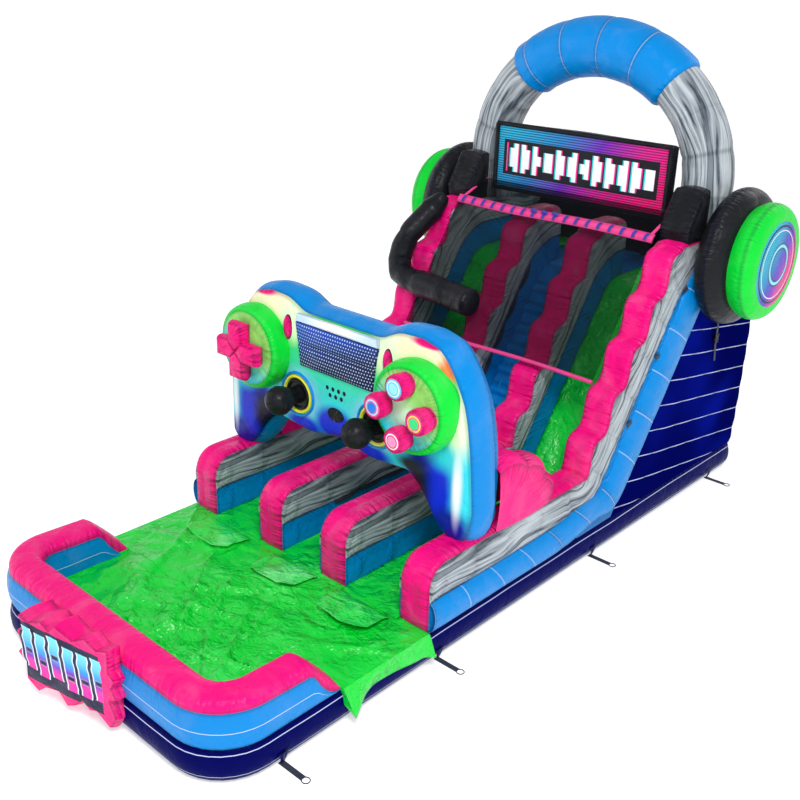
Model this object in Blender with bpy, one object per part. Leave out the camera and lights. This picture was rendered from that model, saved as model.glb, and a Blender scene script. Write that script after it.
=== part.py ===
"""Inflatable twin-lane water slide with a centre climb, a splash pool, a game-pad arch and headphones.

Metres, +Z up. The pool is at -Y, the tower at +Y, and the object's own right side is +X.
The origin is on the ground under the middle of the object's box.
Each inflated chamber is a skin with an air vent where it meets its neighbour, as the real ones are.
"""

import math

import bmesh
import bpy
from mathutils import Matrix, Vector

# ---- clearances and skins -------------------------------------------------
GAP = 0.0003            # between pieces that touch
SKIN = 0.012            # wall of an inflated chamber, drawn thicker than its vinyl
SHEET = 0.03            # loose green liners, with their foam backing
VENT = 0.4              # share of a face that its air vent opens

# ---- overall sizes ----------------------------------------------------------
HALF_WIDTH = 2.15       # outer face of the outer lane walls
POOL_LENGTH = 3.05      # lane mouths to the pool's front
TOWER_LENGTH = 7.55     # lane mouths to the tower's back
BASE_HEIGHT = 0.42
CORNER_RADIUS = 0.65    # pool corners, seen from above

# ---- lane walls -------------------------------------------------------------
WALL_THICK = 0.43
CENTRE_LANE = 0.734     # clear width of the climbing lane
WALL_TOP = 1.27         # crown of the level stretch
WALL_NOSE = 0.28        # radius of each wall's front edge
SLOPE_WALL = 0.80       # wall height square to the slope
PILLOWS = 5             # puffed steps along each wall's slope
PILLOW_RISE = 0.10
INNER_WALL_RUN = 0.30   # how far the inner walls reach over the platform

# ---- slope and tower ----------------------------------------------------------
SLOPE_ANGLE = 56.3      # degrees
SLOPE_FOOT_Y = 3.57     # where the slope's line would meet the level
BED_THICK = 0.30
BED_TOE = 0.03          # the bed's edge where it meets the level lanes
FOOT_RADIUS = 1.0
CREST_RADIUS = 0.5
PLATFORM_Z = 3.27
TOWER_TOP = 4.08
REAR_WALL = 0.43
CROWN = 0.08            # rounding of the rear wall's top
CLIMB_RUNGS = 8
RUNG_RADIUS = 0.055
SIDE_TUBE_BULGE = 0.07

# ---- pool -------------------------------------------------------------------
POOL_WALL = 0.40
POOL_TOP = 1.0
POOL_ARM_END = -1.40    # where each arm's sloping end meets the base
POOL_ARM_SLOPE = 0.42
LINER_EDGE = 0.005      # between the liner's edge and the pool wall
SKIRT_DROP = 0.19
SKIRT_OUT = 0.018
FLAP_HINGE_Y = -0.12
FLAP_LENGTH = 0.50
FLAP_WIDTH = 0.90
FLAP_THICK = 0.012

# ---- game-pad arch --------------------------------------------------------------
PAD_FRONT = 0.68        # Y of its face
PAD_DEPTH = 0.50
PAD_SHOULDER_Z = 3.60
PAD_TOP_Z = 3.46
PAD_WAIST_Z = 1.93
GRIP_OUTER_Z = 2.22     # where the grips' outer edges meet the body
GRIP_WIDTH = 0.92
PAD_INSET = 0.05        # its widest point, in from the outer walls' faces
DISC_INSET = 0.70       # disc centres, in from its widest point
DISC_Z = 2.88
DISC_RADIUS = 0.56
DISC_DEPTH = 0.34
BUTTON_RING = 0.32
BUTTON_RADIUS = 0.155
BUTTON_DEPTH = 0.18
CROSS_REACH = 0.36
CROSS_WIDTH = 0.24
STICK_X = 0.69
STICK_Z = 2.38
STICK_BALL = 0.19
STICK_STALK = 0.10
STICK_REACH = 0.40      # face to the ball's centre
STICK_TIP = 0.0012      # point of the cone that each stick rocks on

# ---- headphones -----------------------------------------------------------------
ARCH_Y = 5.98
LEG_INSET = 0.27        # the legs' centre lines, in from the outer walls' faces
ARCH_SPRING_Z = 4.75    # where the legs start to curve
ARCH_RISE = 1.73
ARCH_RADIUS = 0.36
PAD_TUBE_RADIUS = 0.40
PAD_TUBE_HALF_ANGLE = 41.0
CUP_Z = 3.86
CUSHION_RADIUS = 0.96
CUSHION_DEPTH = 0.44
CUP_BOSS = 0.19         # radius of the cushion's foot on the tower's side
CAP_RADIUS = 0.80
CAP_DEPTH = 0.40
BLOCK_HEIGHT = 0.70
BLOCK_DEPTH = 0.46
BANNER_CLEAR = 0.02     # between the banner's ends and the legs
BANNER_BOTTOM = 4.30
BANNER_HEIGHT = 0.98
BANNER_DEPTH = 0.205
BANNER_FRONT = 5.55
MIC_RADIUS = 0.20

# ---- nets -------------------------------------------------------------------------
NET_THICK = 0.012
NET_START = 1.68        # up the slope's line from its foot
NET_END = 3.85
NET_CLEAR = 0.02        # above the pillows, and from the banner

# ---- sign -------------------------------------------------------------------------
SIGN_HALF = 0.66
SIGN_BOTTOM = 0.10
SIGN_TOP = 1.10
SIGN_THIN = 0.16
SIGN_THICK = 0.42

# ---- fittings ---------------------------------------------------------------------
ANCHOR_ROWS = (-2.24, 0.16, 3.41, 6.79)
STRAP_LENGTH = 0.34
STRAP_WIDTH = 0.07
STRAP_THICK = 0.008
RING_RADIUS = 0.045
RING_WIRE = 0.006
ZIP_ROWS = (1.93, 3.04)
ZIP_LENGTH = 0.30
ZIP_WIDTH = 0.04
ZIP_THICK = 0.006
ZIP_BOTTOM = 0.07
SLIDER_LENGTH = 0.035
HOLD_WIDTH = 0.05
HOLD_THICK = 0.008
SLEEVE_RADIUS = 0.16
SLEEVE_WALL = 0.014
SLEEVE_LENGTH = 0.40
SLEEVE_X = 1.25
SLEEVE_Z = 0.62
BRACE_LENGTH = 1.30
BRACE_HEIGHT = 0.92

# ---- derived ----------------------------------------------------------------------
OUTER_IN = HALF_WIDTH - WALL_THICK          # inner face of an outer wall
CENTRE_HALF = CENTRE_LANE / 2
INNER_OUT = CENTRE_HALF + WALL_THICK        # outer face of an inner wall
SIDE_X = HALF_WIDTH + GAP
PAD_BACK = PAD_FRONT + PAD_DEPTH
PAD_HALF = HALF_WIDTH - PAD_INSET
DISC_X = PAD_HALF - DISC_INSET
ARCH_HALF = HALF_WIDTH - LEG_INSET
BANNER_HALF = ARCH_HALF - ARCH_RADIUS - BANNER_CLEAR
CUP_Y = ARCH_Y + 0.02
BOSS_DEPTH = ARCH_HALF + ARCH_RADIUS - HALF_WIDTH
SLOPE = math.radians(SLOPE_ANGLE)
BACK_END = TOWER_LENGTH + GAP + SLEEVE_LENGTH
FRONT_END = -POOL_LENGTH - GAP - SIGN_THICK
CENTRE_SHIFT = -(BACK_END + FRONT_END) / 2  # from the lane mouths to the middle of the whole object
ALONG = Vector((math.cos(SLOPE), math.sin(SLOPE)))
SQUARE = Vector((-math.sin(SLOPE), math.cos(SLOPE)))

# Shares of depth and radius, from the tower outwards
CUSHION_SHAPE = ((0.0, 0.86), (0.25, 0.98), (0.6, 1.0), (0.9, 0.93), (1.0, 0.82))
CAP_SHAPE = ((0.0, 0.94), (0.3, 1.0), (0.65, 0.95), (0.9, 0.80), (1.0, 0.66))

COLOURS = {
    "navy_vinyl": (0.010, 0.010, 0.130),
    "blue_vinyl": (0.000, 0.280, 0.800),
    "pink_vinyl": (1.000, 0.010, 0.200),
    "green_vinyl": (0.010, 0.650, 0.040),
    "marble_vinyl": (0.420, 0.450, 0.480),
    "black_vinyl": (0.020, 0.022, 0.027),
    "black_mesh": (0.030, 0.032, 0.036),
    "webbing": (0.015, 0.016, 0.030),
    "ring_steel": (0.550, 0.560, 0.580),
    "zip_plastic": (0.020, 0.020, 0.024),
}


# ---- tools --------------------------------------------------------------------------
def clear_scene():
    for old in list(bpy.data.objects):
        bpy.data.objects.remove(old)


def material(name):
    """The named finish, made once."""
    found = bpy.data.materials.get(name)
    if found:
        return found
    made = bpy.data.materials.new(name)
    made.use_nodes = True
    shader = made.node_tree.nodes["Principled BSDF"]
    shader.inputs["Base Color"].default_value = (*COLOURS[name], 1.0)
    shader.inputs["Roughness"].default_value = 0.6 if name in ("black_mesh", "webbing") else 0.3
    shader.inputs["Metallic"].default_value = 1.0 if name == "ring_steel" else 0.0
    return made


def add_object(name, mesh, finish, origin=(0.0, 0.0, 0.0), smooth=40.0):
    """An object whose mesh was drawn in lane coordinates, with its own origin."""
    shift = Vector((0.0, CENTRE_SHIFT, 0.0))
    mesh.transform(Matrix.Translation(-Vector(origin)))
    mesh.materials.append(material(finish))
    mesh.shade_smooth()
    mesh.set_sharp_from_angle(angle=math.radians(smooth))
    made = bpy.data.objects.new(name, mesh)
    made.location = Vector(origin) + shift
    bpy.context.scene.collection.objects.link(made)
    return made


def finish_mesh(name, bm):
    bmesh.ops.recalc_face_normals(bm, faces=bm.faces)
    mesh = bpy.data.meshes.new(name)
    bm.to_mesh(mesh)
    bm.free()
    return mesh


def spread(low, high, count):
    """Evenly spaced values, both ends included."""
    return [low + (high - low) * i / (count - 1) for i in range(count)]


def offset_path(points, distance):
    """A path moved square to itself; positive moves to the left of its direction."""
    points = [Vector(p) for p in points]
    moved = []
    for i, here in enumerate(points):
        before = points[max(i - 1, 0)]
        after = points[min(i + 1, len(points) - 1)]
        first = (here - before).normalized() if i else (after - here).normalized()
        second = (after - here).normalized() if i < len(points) - 1 else first
        left = Vector((-first.y, first.x)) + Vector((-second.y, second.x))
        scale = 1.0 / max(1.0 + first.dot(second), 0.2)
        moved.append(here + left * scale * distance)
    return moved


def arc_points(centre, radius, start, end, count):
    """Points on an arc, angles in degrees."""
    turns = spread(math.radians(start), math.radians(end), count)
    return [Vector((centre[0] + radius * math.cos(a), centre[1] + radius * math.sin(a))) for a in turns]


def to_space(axis, along, flat):
    """A point from its place along an axis and its two other coordinates."""
    if axis == "X":
        return Vector((along, flat[0], flat[1]))
    if axis == "Y":
        return Vector((flat[0], along, flat[1]))
    return Vector((flat[0], flat[1], along))


def prism(outline, low, high, axis):
    """A bmesh of an outline pushed from low to high along an axis, and its side faces in order."""
    bm = bmesh.new()
    near = [bm.verts.new(to_space(axis, low, p)) for p in outline]
    far = [bm.verts.new(to_space(axis, high, p)) for p in outline]
    bm.faces.new(near)
    bm.faces.new(far)
    sides = []
    for i in range(len(outline)):
        k = (i + 1) % len(outline)
        sides.append(bm.faces.new((near[i], near[k], far[k], far[i])))
    return bm, sides


def open_vent(bm, face):
    """Cuts an air vent in the middle of a face."""
    bmesh.ops.recalc_face_normals(bm, faces=bm.faces)
    middle = face.calc_center_median()
    reach = min((edge.verts[0].co + edge.verts[1].co - 2 * middle).length / 2 for edge in face.edges)
    bmesh.ops.inset_individual(bm, faces=[face], thickness=reach * (1.0 - VENT))
    bmesh.ops.delete(bm, geom=[face], context="FACES_ONLY")


def nearest_face(bm, point):
    """The face whose middle is nearest a point."""
    point = Vector(point)
    return min(bm.faces, key=lambda face: (face.calc_center_median() - point).length)


def skin_modifier(made, thickness=SKIN):
    """Turns a vented surface into a skin, drawn inwards."""
    solidify = made.modifiers.new("skin", "SOLIDIFY")
    solidify.thickness = thickness
    solidify.offset = -1.0
    solidify.use_even_offset = True
    solidify.use_rim = True


def chamber(name, outline, low, high, axis, finish, vent_side):
    """An inflated prism-shaped chamber with a vent in one of its sides."""
    bm, sides = prism(outline, low, high, axis)
    open_vent(bm, sides[vent_side])
    made = add_object(name, finish_mesh(name, bm), finish)
    skin_modifier(made)
    return made


def solid(name, outline, low, high, axis, finish, bevel=0.0, origin=(0.0, 0.0, 0.0), vent_at=None):
    """A closed prism with its edges rounded over, or an inflated one where it is given a vent."""
    bm, sides = prism(outline, low, high, axis)
    bmesh.ops.recalc_face_normals(bm, faces=bm.faces)
    if bevel:
        bmesh.ops.bevel(bm, geom=list(bm.edges), offset=bevel, segments=2, profile=0.5, affect="EDGES")
    if vent_at:
        open_vent(bm, nearest_face(bm, vent_at))
    made = add_object(name, finish_mesh(name, bm), finish, origin)
    if vent_at:
        skin_modifier(made)
    return made


def rings_to_tube(rings, cap_start=True, cap_end=True):
    """A closed bmesh through rings of equal point counts."""
    bm = bmesh.new()
    rows = [[bm.verts.new(p) for p in ring] for ring in rings]
    for row, following in zip(rows, rows[1:]):
        for i in range(len(row)):
            k = (i + 1) % len(row)
            bm.faces.new((row[i], row[k], following[k], following[i]))
    caps = [bm.faces.new(rows[0]) if cap_start else None, bm.faces.new(rows[-1]) if cap_end else None]
    return bm, caps


def inflated(name, rings, finish, vent_cap=0, origin=(0.0, 0.0, 0.0)):
    """An inflated chamber through rings, with its vent in one of its two caps."""
    bm, caps = rings_to_tube(rings)
    open_vent(bm, caps[vent_cap])
    made = add_object(name, finish_mesh(name, bm), finish, origin)
    skin_modifier(made)
    return made


def turned(profile, centre, axis, sides):
    """Rings of a profile of (distance along the axis, radius), around an axis through centre."""
    rings = []
    for along, radius in profile:
        ring = []
        for turn in spread(0.0, math.tau, sides + 1)[:-1]:
            flat = (radius * math.cos(turn), radius * math.sin(turn))
            ring.append(Vector(centre) + to_space(axis, along, flat))
        rings.append(ring)
    return rings


def swept_circle(path, radii, sides, ends=(None, None)):
    """Rings of a round tube along a 3D path; ends may give the directions at its two ends."""
    path = [Vector(p) for p in path]
    rings = []
    for i, here in enumerate(path):
        ahead = (path[min(i + 1, len(path) - 1)] - path[max(i - 1, 0)]).normalized()
        if i == 0 and ends[0]:
            ahead = ends[0].normalized()
        if i == len(path) - 1 and ends[1]:
            ahead = ends[1].normalized()
        side = ahead.cross(Vector((0.0, 1.0, 0.0)))
        if side.length < 0.1:
            side = ahead.cross(Vector((1.0, 0.0, 0.0)))
        side.normalize()
        other = ahead.cross(side)
        turns = spread(0.0, math.tau, sides + 1)[:-1]
        rings.append([here + (side * math.cos(t) + other * math.sin(t)) * radii[i] for t in turns])
    return rings


# ---- the lane profile, side view as (y, z) --------------------------------------------
def slope_point(distance, height=0.0):
    """A point this far up the slope's line and this far square above it."""
    start = Vector((SLOPE_FOOT_Y, BASE_HEIGHT + BED_TOE))
    return start + ALONG * distance + SQUARE * height


def bed_surface():
    """Top of the slide bed, from its toe to the back of the platform."""
    tangent = FOOT_RADIUS * math.tan(SLOPE / 2)
    toe = SLOPE_FOOT_Y - tangent
    foot = arc_points((toe, BASE_HEIGHT + BED_TOE + FOOT_RADIUS), FOOT_RADIUS, -90, -90 + SLOPE_ANGLE, 6)
    rise = PLATFORM_Z - BASE_HEIGHT - BED_TOE
    top = slope_point(rise / math.sin(SLOPE))
    back = CREST_RADIUS * math.tan(SLOPE / 2)
    centre = (top.x + back, PLATFORM_Z - CREST_RADIUS)
    crest = arc_points(centre, CREST_RADIUS, 90 + SLOPE_ANGLE, 90, 5)
    return foot + crest + [Vector((TOWER_LENGTH - REAR_WALL, PLATFORM_Z))]


def lane_surface():
    """What the liners and walls rest on: the level base, then the bed."""
    bed = bed_surface()
    step = Vector((bed[0].x - 2 * GAP, BASE_HEIGHT))
    return [Vector((0.0, BASE_HEIGHT)), step, bed[0] - Vector((2 * GAP, 0.0))] + bed[1:]


def above_lane(distance):
    """The lane surface raised by a distance square to it, kept level where the base is level."""
    raised = offset_path(lane_surface(), distance)
    raised[1] = Vector((raised[1].x, BASE_HEIGHT + distance))
    raised[2] = Vector((raised[1].x + GAP / 2, BASE_HEIGHT + BED_TOE + distance))
    return raised


# ---- base, tower and bed ----------------------------------------------------------------
def rounded_base(front, back, half, radius, inset=0.0):
    """Plan outline of the base, with round front corners."""
    half -= inset
    front += inset
    back -= inset
    right = arc_points((half - radius, front + radius), radius, -90, 0, 6)
    left = arc_points((-half + radius, front + radius), radius, 180, 270, 6)
    return left + right + [Vector((half, back)), Vector((-half, back))]


def make_base():
    """Ground chamber under everything, with a vent up into the tower."""
    rings = []
    for height, inset in ((0.0, 0.05), (0.06, 0.0), (BASE_HEIGHT - 0.05, 0.0), (BASE_HEIGHT, 0.03)):
        plan = rounded_base(-POOL_LENGTH, TOWER_LENGTH, HALF_WIDTH, CORNER_RADIUS, inset)
        rings.append([Vector((p.x, p.y, height)) for p in plan])
    bm, caps = rings_to_tube(rings)
    back_face = max(bm.faces, key=lambda face: face.calc_center_median().y)
    open_vent(bm, back_face)
    made = add_object("ground_base", finish_mesh("ground_base", bm), "navy_vinyl")
    skin_modifier(made)


def make_tower():
    """Navy chamber under the slope and the platform, with the wall behind the platform."""
    base_z = BASE_HEIGHT + GAP
    kept = [p for p in offset_path(bed_surface(), -BED_THICK - GAP) if p.y > base_z + 0.05]
    first = kept[0]
    toe = Vector((first.x - (first.y - base_z) / math.tan(SLOPE), base_z))
    wall = TOWER_LENGTH - REAR_WALL + GAP
    kept[-1].x = wall
    crown = [
        Vector((wall, TOWER_TOP - CROWN)), Vector((wall + CROWN, TOWER_TOP)),
        Vector((TOWER_LENGTH - CROWN, TOWER_TOP)), Vector((TOWER_LENGTH, TOWER_TOP - CROWN)),
    ]
    outline = [toe] + kept + crown + [Vector((TOWER_LENGTH, base_z))]
    chamber("tower_body", outline, -HALF_WIDTH, HALF_WIDTH, "X", "navy_vinyl", len(outline) - 1)


def make_bed():
    """Sloping bed that carries the lanes, and the platform at its top."""
    top = bed_surface()
    under = offset_path(top, -BED_THICK)
    base_z = BASE_HEIGHT + GAP
    kept = [p for p in under if p.y > base_z + 0.05]
    first = kept[0]
    heel = Vector((first.x - (first.y - base_z) / math.tan(SLOPE), base_z))
    outline = top + list(reversed(kept)) + [heel, Vector((top[0].x, base_z))]
    vent = len(top) + 1
    chamber("slide_bed", outline, -HALF_WIDTH, HALF_WIDTH, "X", "blue_vinyl", vent)


# ---- lane walls -----------------------------------------------------------------------
def wall_top_line(end_y):
    """Top of a lane wall: round nose, level stretch, puffed slope and top, front to back."""
    nose = arc_points((WALL_NOSE, WALL_TOP - WALL_NOSE), WALL_NOSE, 180, 90, 5)
    level = WALL_TOP - BASE_HEIGHT - BED_TOE
    start = (level - SLOPE_WALL * math.cos(SLOPE)) / math.sin(SLOPE)
    finish = (TOWER_TOP - BASE_HEIGHT - BED_TOE - SLOPE_WALL * math.cos(SLOPE)) / math.sin(SLOPE)
    slope = []
    pitch = (finish - start) / PILLOWS
    for k in range(PILLOWS):
        for share in (0.0, 0.25, 0.5, 0.75):
            lift = PILLOW_RISE * math.sin(math.pi * share)
            slope.append(slope_point(start + pitch * (k + share), SLOPE_WALL + lift))
    crest = slope_point(finish, SLOPE_WALL)
    return nose + slope + [crest, Vector((end_y, TOWER_TOP))]


def wall_floor(end_y):
    """Underside of a wall along the lane surface, front to back."""
    return [p for p in above_lane(GAP) if p.x < end_y - 0.02]


def make_lane_walls():
    """Two outer walls that run to the tower's rear wall, and two inner ones that end at the platform."""
    back = TOWER_LENGTH - REAR_WALL
    outer = wall_top_line(back) + [Vector((back, PLATFORM_Z + GAP))] + list(reversed(wall_floor(back)))
    end = slope_point((PLATFORM_Z - BASE_HEIGHT) / math.sin(SLOPE)).x + INNER_WALL_RUN
    foot = [Vector((end, TOWER_TOP - 0.2)), Vector((end, PLATFORM_Z + GAP))]
    inner = wall_top_line(end - 0.2) + foot + list(reversed(wall_floor(end)))
    walls = (
        ("lane_wall_left_outer", outer, -HALF_WIDTH, -OUTER_IN),
        ("lane_wall_left_inner", inner, -INNER_OUT, -CENTRE_HALF),
        ("lane_wall_right_inner", inner, CENTRE_HALF, INNER_OUT),
        ("lane_wall_right_outer", outer, OUTER_IN, HALF_WIDTH),
    )
    for name, outline, low, high in walls:
        chamber(name, outline, low, high, "X", "marble_vinyl", len(outline) - 2)


# ---- lane coverings ---------------------------------------------------------------------
def make_slide_liners():
    """Green sliding sheets over the outer lanes."""
    low = above_lane(GAP)
    high = above_lane(GAP + SHEET)
    outline = low + list(reversed(high))
    solid("slide_liner_left", outline, -OUTER_IN + GAP, -INNER_OUT - GAP, "X", "green_vinyl")
    solid("slide_liner_right", outline, INNER_OUT + GAP, OUTER_IN - GAP, "X", "green_vinyl")


def make_climb_ramp():
    """Blue climbing sheet of the centre lane, with round rungs across its slope."""
    low = above_lane(GAP)
    high = above_lane(GAP + SHEET)
    start = high[:8]
    finish = high[8:]
    rungs = []
    first = (start[-1] - slope_point(0.0)).dot(ALONG) + RUNG_RADIUS
    last = (finish[0] - slope_point(0.0)).dot(ALONG) - RUNG_RADIUS
    for centre in spread(first + RUNG_RADIUS, last - RUNG_RADIUS, CLIMB_RUNGS):
        for turn in (180, 135, 90, 45, 0):
            angle = math.radians(turn)
            lift = SHEET + GAP + RUNG_RADIUS * math.sin(angle)
            rungs.append(slope_point(centre + RUNG_RADIUS * math.cos(angle), lift))
    outline = low + list(reversed(start + rungs + finish))
    solid("climbing_ramp", outline, -CENTRE_HALF + GAP, CENTRE_HALF - GAP, "X", "blue_vinyl")


def make_hand_holds():
    """Flat webbing lines on both walls of the climbing lane."""
    for name, side in (("hand_hold_left", -1), ("hand_hold_right", 1)):
        height = 0.42
        path = [Vector((0.9, BASE_HEIGHT + height)), slope_point(0.0, height) - Vector((0.15, 0.0))]
        path += [slope_point(0.45, height), slope_point(3.3, height)]
        outline = offset_path(path, -HOLD_WIDTH / 2) + list(reversed(offset_path(path, HOLD_WIDTH / 2)))
        inner = side * (CENTRE_HALF - GAP - HOLD_THICK)
        outer = side * (CENTRE_HALF - GAP)
        solid(name, outline, min(inner, outer), max(inner, outer), "X", "webbing")


def make_side_tubes():
    """Blue tubes along both sides, level by the lanes and then up under the slope."""
    level_low = BASE_HEIGHT + 0.03
    level_high = level_low + 0.38
    upper = [Vector((0.05, level_high)), Vector((1.2, level_high)), Vector((2.3, level_high))]
    lower = [Vector((0.05, level_low)), Vector((1.5, level_low)), Vector((2.65, level_low))]
    upper += [Vector((3.04, level_high + 0.10)), slope_point(0.50, 0.30), slope_point(1.05, 0.03)]
    lower += [Vector((3.44, level_low + 0.11)), slope_point(0.30, -0.20), slope_point(1.00, -0.28)]
    upper += [slope_point(2.0, 0.0), slope_point(3.0, 0.0), slope_point(3.95, 0.0)]
    lower += [slope_point(2.0, -0.30), slope_point(3.0, -0.30), slope_point(3.95, -0.30)]
    for name, side in (("side_tube_left", -1), ("side_tube_right", 1)):
        rings = []
        for high, low in zip(upper, lower):
            middle = (high + low) / 2
            reach = (high - low) / 2
            ring = []
            for angle in (-90, -50, 0, 50, 90):
                turn = math.radians(angle)
                flat = middle + reach * math.sin(turn)
                out = SIDE_X + SIDE_TUBE_BULGE * math.cos(turn)
                ring.append(Vector((side * out, flat.x, flat.y)))
            rings.append(ring)
        bm, caps = rings_to_tube(rings)
        add_object(name, finish_mesh(name, bm), "blue_vinyl")


# ---- pool ---------------------------------------------------------------------------------
def pool_section(top, half_thick):
    """Cross-section of the pool wall as (out from its middle, height)."""
    low = BASE_HEIGHT + GAP
    crown = min(0.14, (top - low) * 0.45)
    inset = crown * 0.75
    return [
        (-half_thick, low), (half_thick, low), (half_thick, top - crown),
        (half_thick - inset * 0.35, top - crown * 0.35), (half_thick - inset, top),
        (-half_thick + inset, top), (-half_thick + inset * 0.35, top - crown * 0.35), (-half_thick, top - crown),
    ]


def make_pool_wall():
    """U-shaped pool wall whose arms slope down to the base at their ends."""
    half_thick = POOL_WALL / 2
    middle_x = HALF_WIDTH - half_thick
    radius = CORNER_RADIUS - half_thick
    front = -POOL_LENGTH + half_thick
    right = [(middle_x, POOL_ARM_END, BASE_HEIGHT + 0.04), (middle_x, POOL_ARM_END - POOL_ARM_SLOPE * 0.8, POOL_TOP - 0.09)]
    right += [(middle_x, POOL_ARM_END - POOL_ARM_SLOPE, POOL_TOP)]
    corner = arc_points((middle_x - radius, front + radius), radius, 0, -90, 6)
    right += [(p.x, p.y, POOL_TOP) for p in corner]
    left = [(-x, y, top) for x, y, top in reversed(right)]
    stations = right + left
    rings = []
    for i, (x, y, top) in enumerate(stations):
        before = Vector(stations[max(i - 1, 0)][:2])
        after = Vector(stations[min(i + 1, len(stations) - 1)][:2])
        ahead = (after - before).normalized()
        out = Vector((-ahead.y, ahead.x))
        rings.append([Vector((x + out.x * d, y + out.y * d, z)) for d, z in pool_section(top, half_thick)])
    bm, caps = rings_to_tube(rings)
    open_vent(bm, nearest_face(bm, (0.0, front, BASE_HEIGHT)))
    made = add_object("pool_wall", finish_mesh("pool_wall", bm), "pink_vinyl")
    skin_modifier(made)


def make_pool_liner():
    """Green sheet over the pool's floor, with skirts that hang over its two low sides."""
    inner = HALF_WIDTH - POOL_WALL - LINER_EDGE
    front = -POOL_LENGTH + POOL_WALL + LINER_EDGE
    notch = POOL_ARM_END + GAP
    back = -GAP
    edge = HALF_WIDTH + SKIRT_OUT + SHEET * 0.4
    top = BASE_HEIGHT + GAP + SHEET * 0.4
    corner = CORNER_RADIUS - POOL_WALL
    bm = bmesh.new()

    def row(y, half):
        return [bm.verts.new((x, y, top)) for x in (-half, half)]

    front_row = row(front, inner - corner)
    side_row = row(front + corner, inner)
    notch_row = row(notch, inner)
    back_row = row(back, inner)
    for near, far in ((front_row, side_row), (side_row, notch_row), (notch_row, back_row)):
        bm.faces.new((near[0], near[1], far[1], far[0]))
    for side in (0, 1):
        out = edge if side else -edge
        fold = [bm.verts.new((out, y, top)) for y in (notch, back)]
        hem = [bm.verts.new((out, y, top - SKIRT_DROP)) for y in (notch, back)]
        bm.faces.new((notch_row[side], fold[0], fold[1], back_row[side]))
        bm.faces.new((fold[0], hem[0], hem[1], fold[1]))
    made = add_object("pool_liner", finish_mesh("pool_liner", bm), "green_vinyl")
    if made.data.polygons[0].normal.z < 0:
        made.data.flip_normals()
    solidify = made.modifiers.new("sheet", "SOLIDIFY")
    solidify.thickness = SHEET * 0.4
    solidify.offset = -1.0
    solidify.use_even_offset = True


def make_seam_flaps():
    """Flaps that cover the joint between pool and lanes, each on its sewn line."""
    low = BASE_HEIGHT + 2 * GAP + SHEET * 0.4
    high = low + FLAP_THICK
    lane_middle = (OUTER_IN + INNER_OUT) / 2
    for name, centre, width in (
        ("seam_flap_left", -lane_middle, FLAP_WIDTH),
        ("seam_flap_centre", 0.05, FLAP_WIDTH * 0.95),
        ("seam_flap_right", lane_middle, FLAP_WIDTH),
    ):
        half = width / 2
        cut = FLAP_LENGTH * 0.3
        edge = FLAP_HINGE_Y - FLAP_LENGTH
        outline = [
            Vector((centre - half, FLAP_HINGE_Y)), Vector((centre - half, edge + cut)),
            Vector((centre - half + cut, edge)), Vector((centre + half - cut, edge)),
            Vector((centre + half, edge + cut)), Vector((centre + half, FLAP_HINGE_Y)),
        ]
        solid(name, outline, low, high, "Z", "green_vinyl", origin=(centre, FLAP_HINGE_Y, low))


# ---- brace pillows ------------------------------------------------------------------------------
def make_braces():
    """Round pillows on the outer walls behind the game pad's grips."""
    start = PAD_BACK + GAP
    seat = WALL_TOP + GAP
    outline = [Vector((start, seat))]
    for turn in spread(0.0, 90.0, 8):
        angle = math.radians(turn)
        outline.append(Vector((start + BRACE_LENGTH * math.cos(angle), seat + BRACE_HEIGHT * math.sin(angle))))
    for side, word in ((-1, "left"), (1, "right")):
        edges = sorted((side * OUTER_IN, side * HALF_WIDTH))
        solid(f"brace_pillow_{word}", outline, edges[0], edges[1], "X", "pink_vinyl")


# ---- game pad --------------------------------------------------------------------------------------
def mirrored(half_outline):
    """A closed outline from its right half, given from top middle to bottom middle."""
    right = [Vector(p) for p in half_outline]
    left = [Vector((-p.x, p.y)) for p in reversed(right) if abs(p.x) > 0.001]
    return right + left


def make_game_pad():
    """Body of the game pad and its two grips, which stand on the outer walls."""
    body = mirrored([
        (0.0, PAD_TOP_Z), (0.66, PAD_TOP_Z), (0.95, PAD_SHOULDER_Z), (PAD_HALF - 0.80, PAD_SHOULDER_Z + 0.02),
        (PAD_HALF - 0.50, PAD_SHOULDER_Z - 0.06), (PAD_HALF - 0.26, 3.22), (PAD_HALF - 0.08, 2.82),
        (PAD_HALF, GRIP_OUTER_Z), (PAD_HALF - GRIP_WIDTH, PAD_WAIST_Z),
        (0.50, PAD_WAIST_Z - 0.06), (0.0, PAD_WAIST_Z + 0.05),
    ])
    middle = (PAD_FRONT + PAD_BACK) / 2
    vent = (PAD_HALF - GRIP_WIDTH / 2, middle, (GRIP_OUTER_Z + PAD_WAIST_Z) / 2)
    solid("game_pad_body", body, PAD_FRONT, PAD_BACK, "Y", "blue_vinyl", bevel=0.07, vent_at=vent)
    foot = WALL_TOP + GAP
    grip = [
        Vector((PAD_HALF - GRIP_WIDTH, PAD_WAIST_Z - GAP * 4)), Vector((PAD_HALF, GRIP_OUTER_Z - GAP * 4)),
        Vector((PAD_HALF + 0.04, foot + 0.45)), Vector((PAD_HALF + 0.02, foot + 0.13)),
        Vector((PAD_HALF - 0.06, foot)), Vector((PAD_HALF - 0.30, foot)),
        Vector((PAD_HALF - 0.46, foot + 0.15)), Vector((PAD_HALF - 0.68, foot + 0.47)),
    ]
    solid("game_pad_grip_right", grip, PAD_FRONT, PAD_BACK, "Y", "blue_vinyl", bevel=0.05)
    flipped = [Vector((-p.x, p.y)) for p in reversed(grip)]
    solid("game_pad_grip_left", flipped, PAD_FRONT, PAD_BACK, "Y", "blue_vinyl", bevel=0.05)


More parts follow.
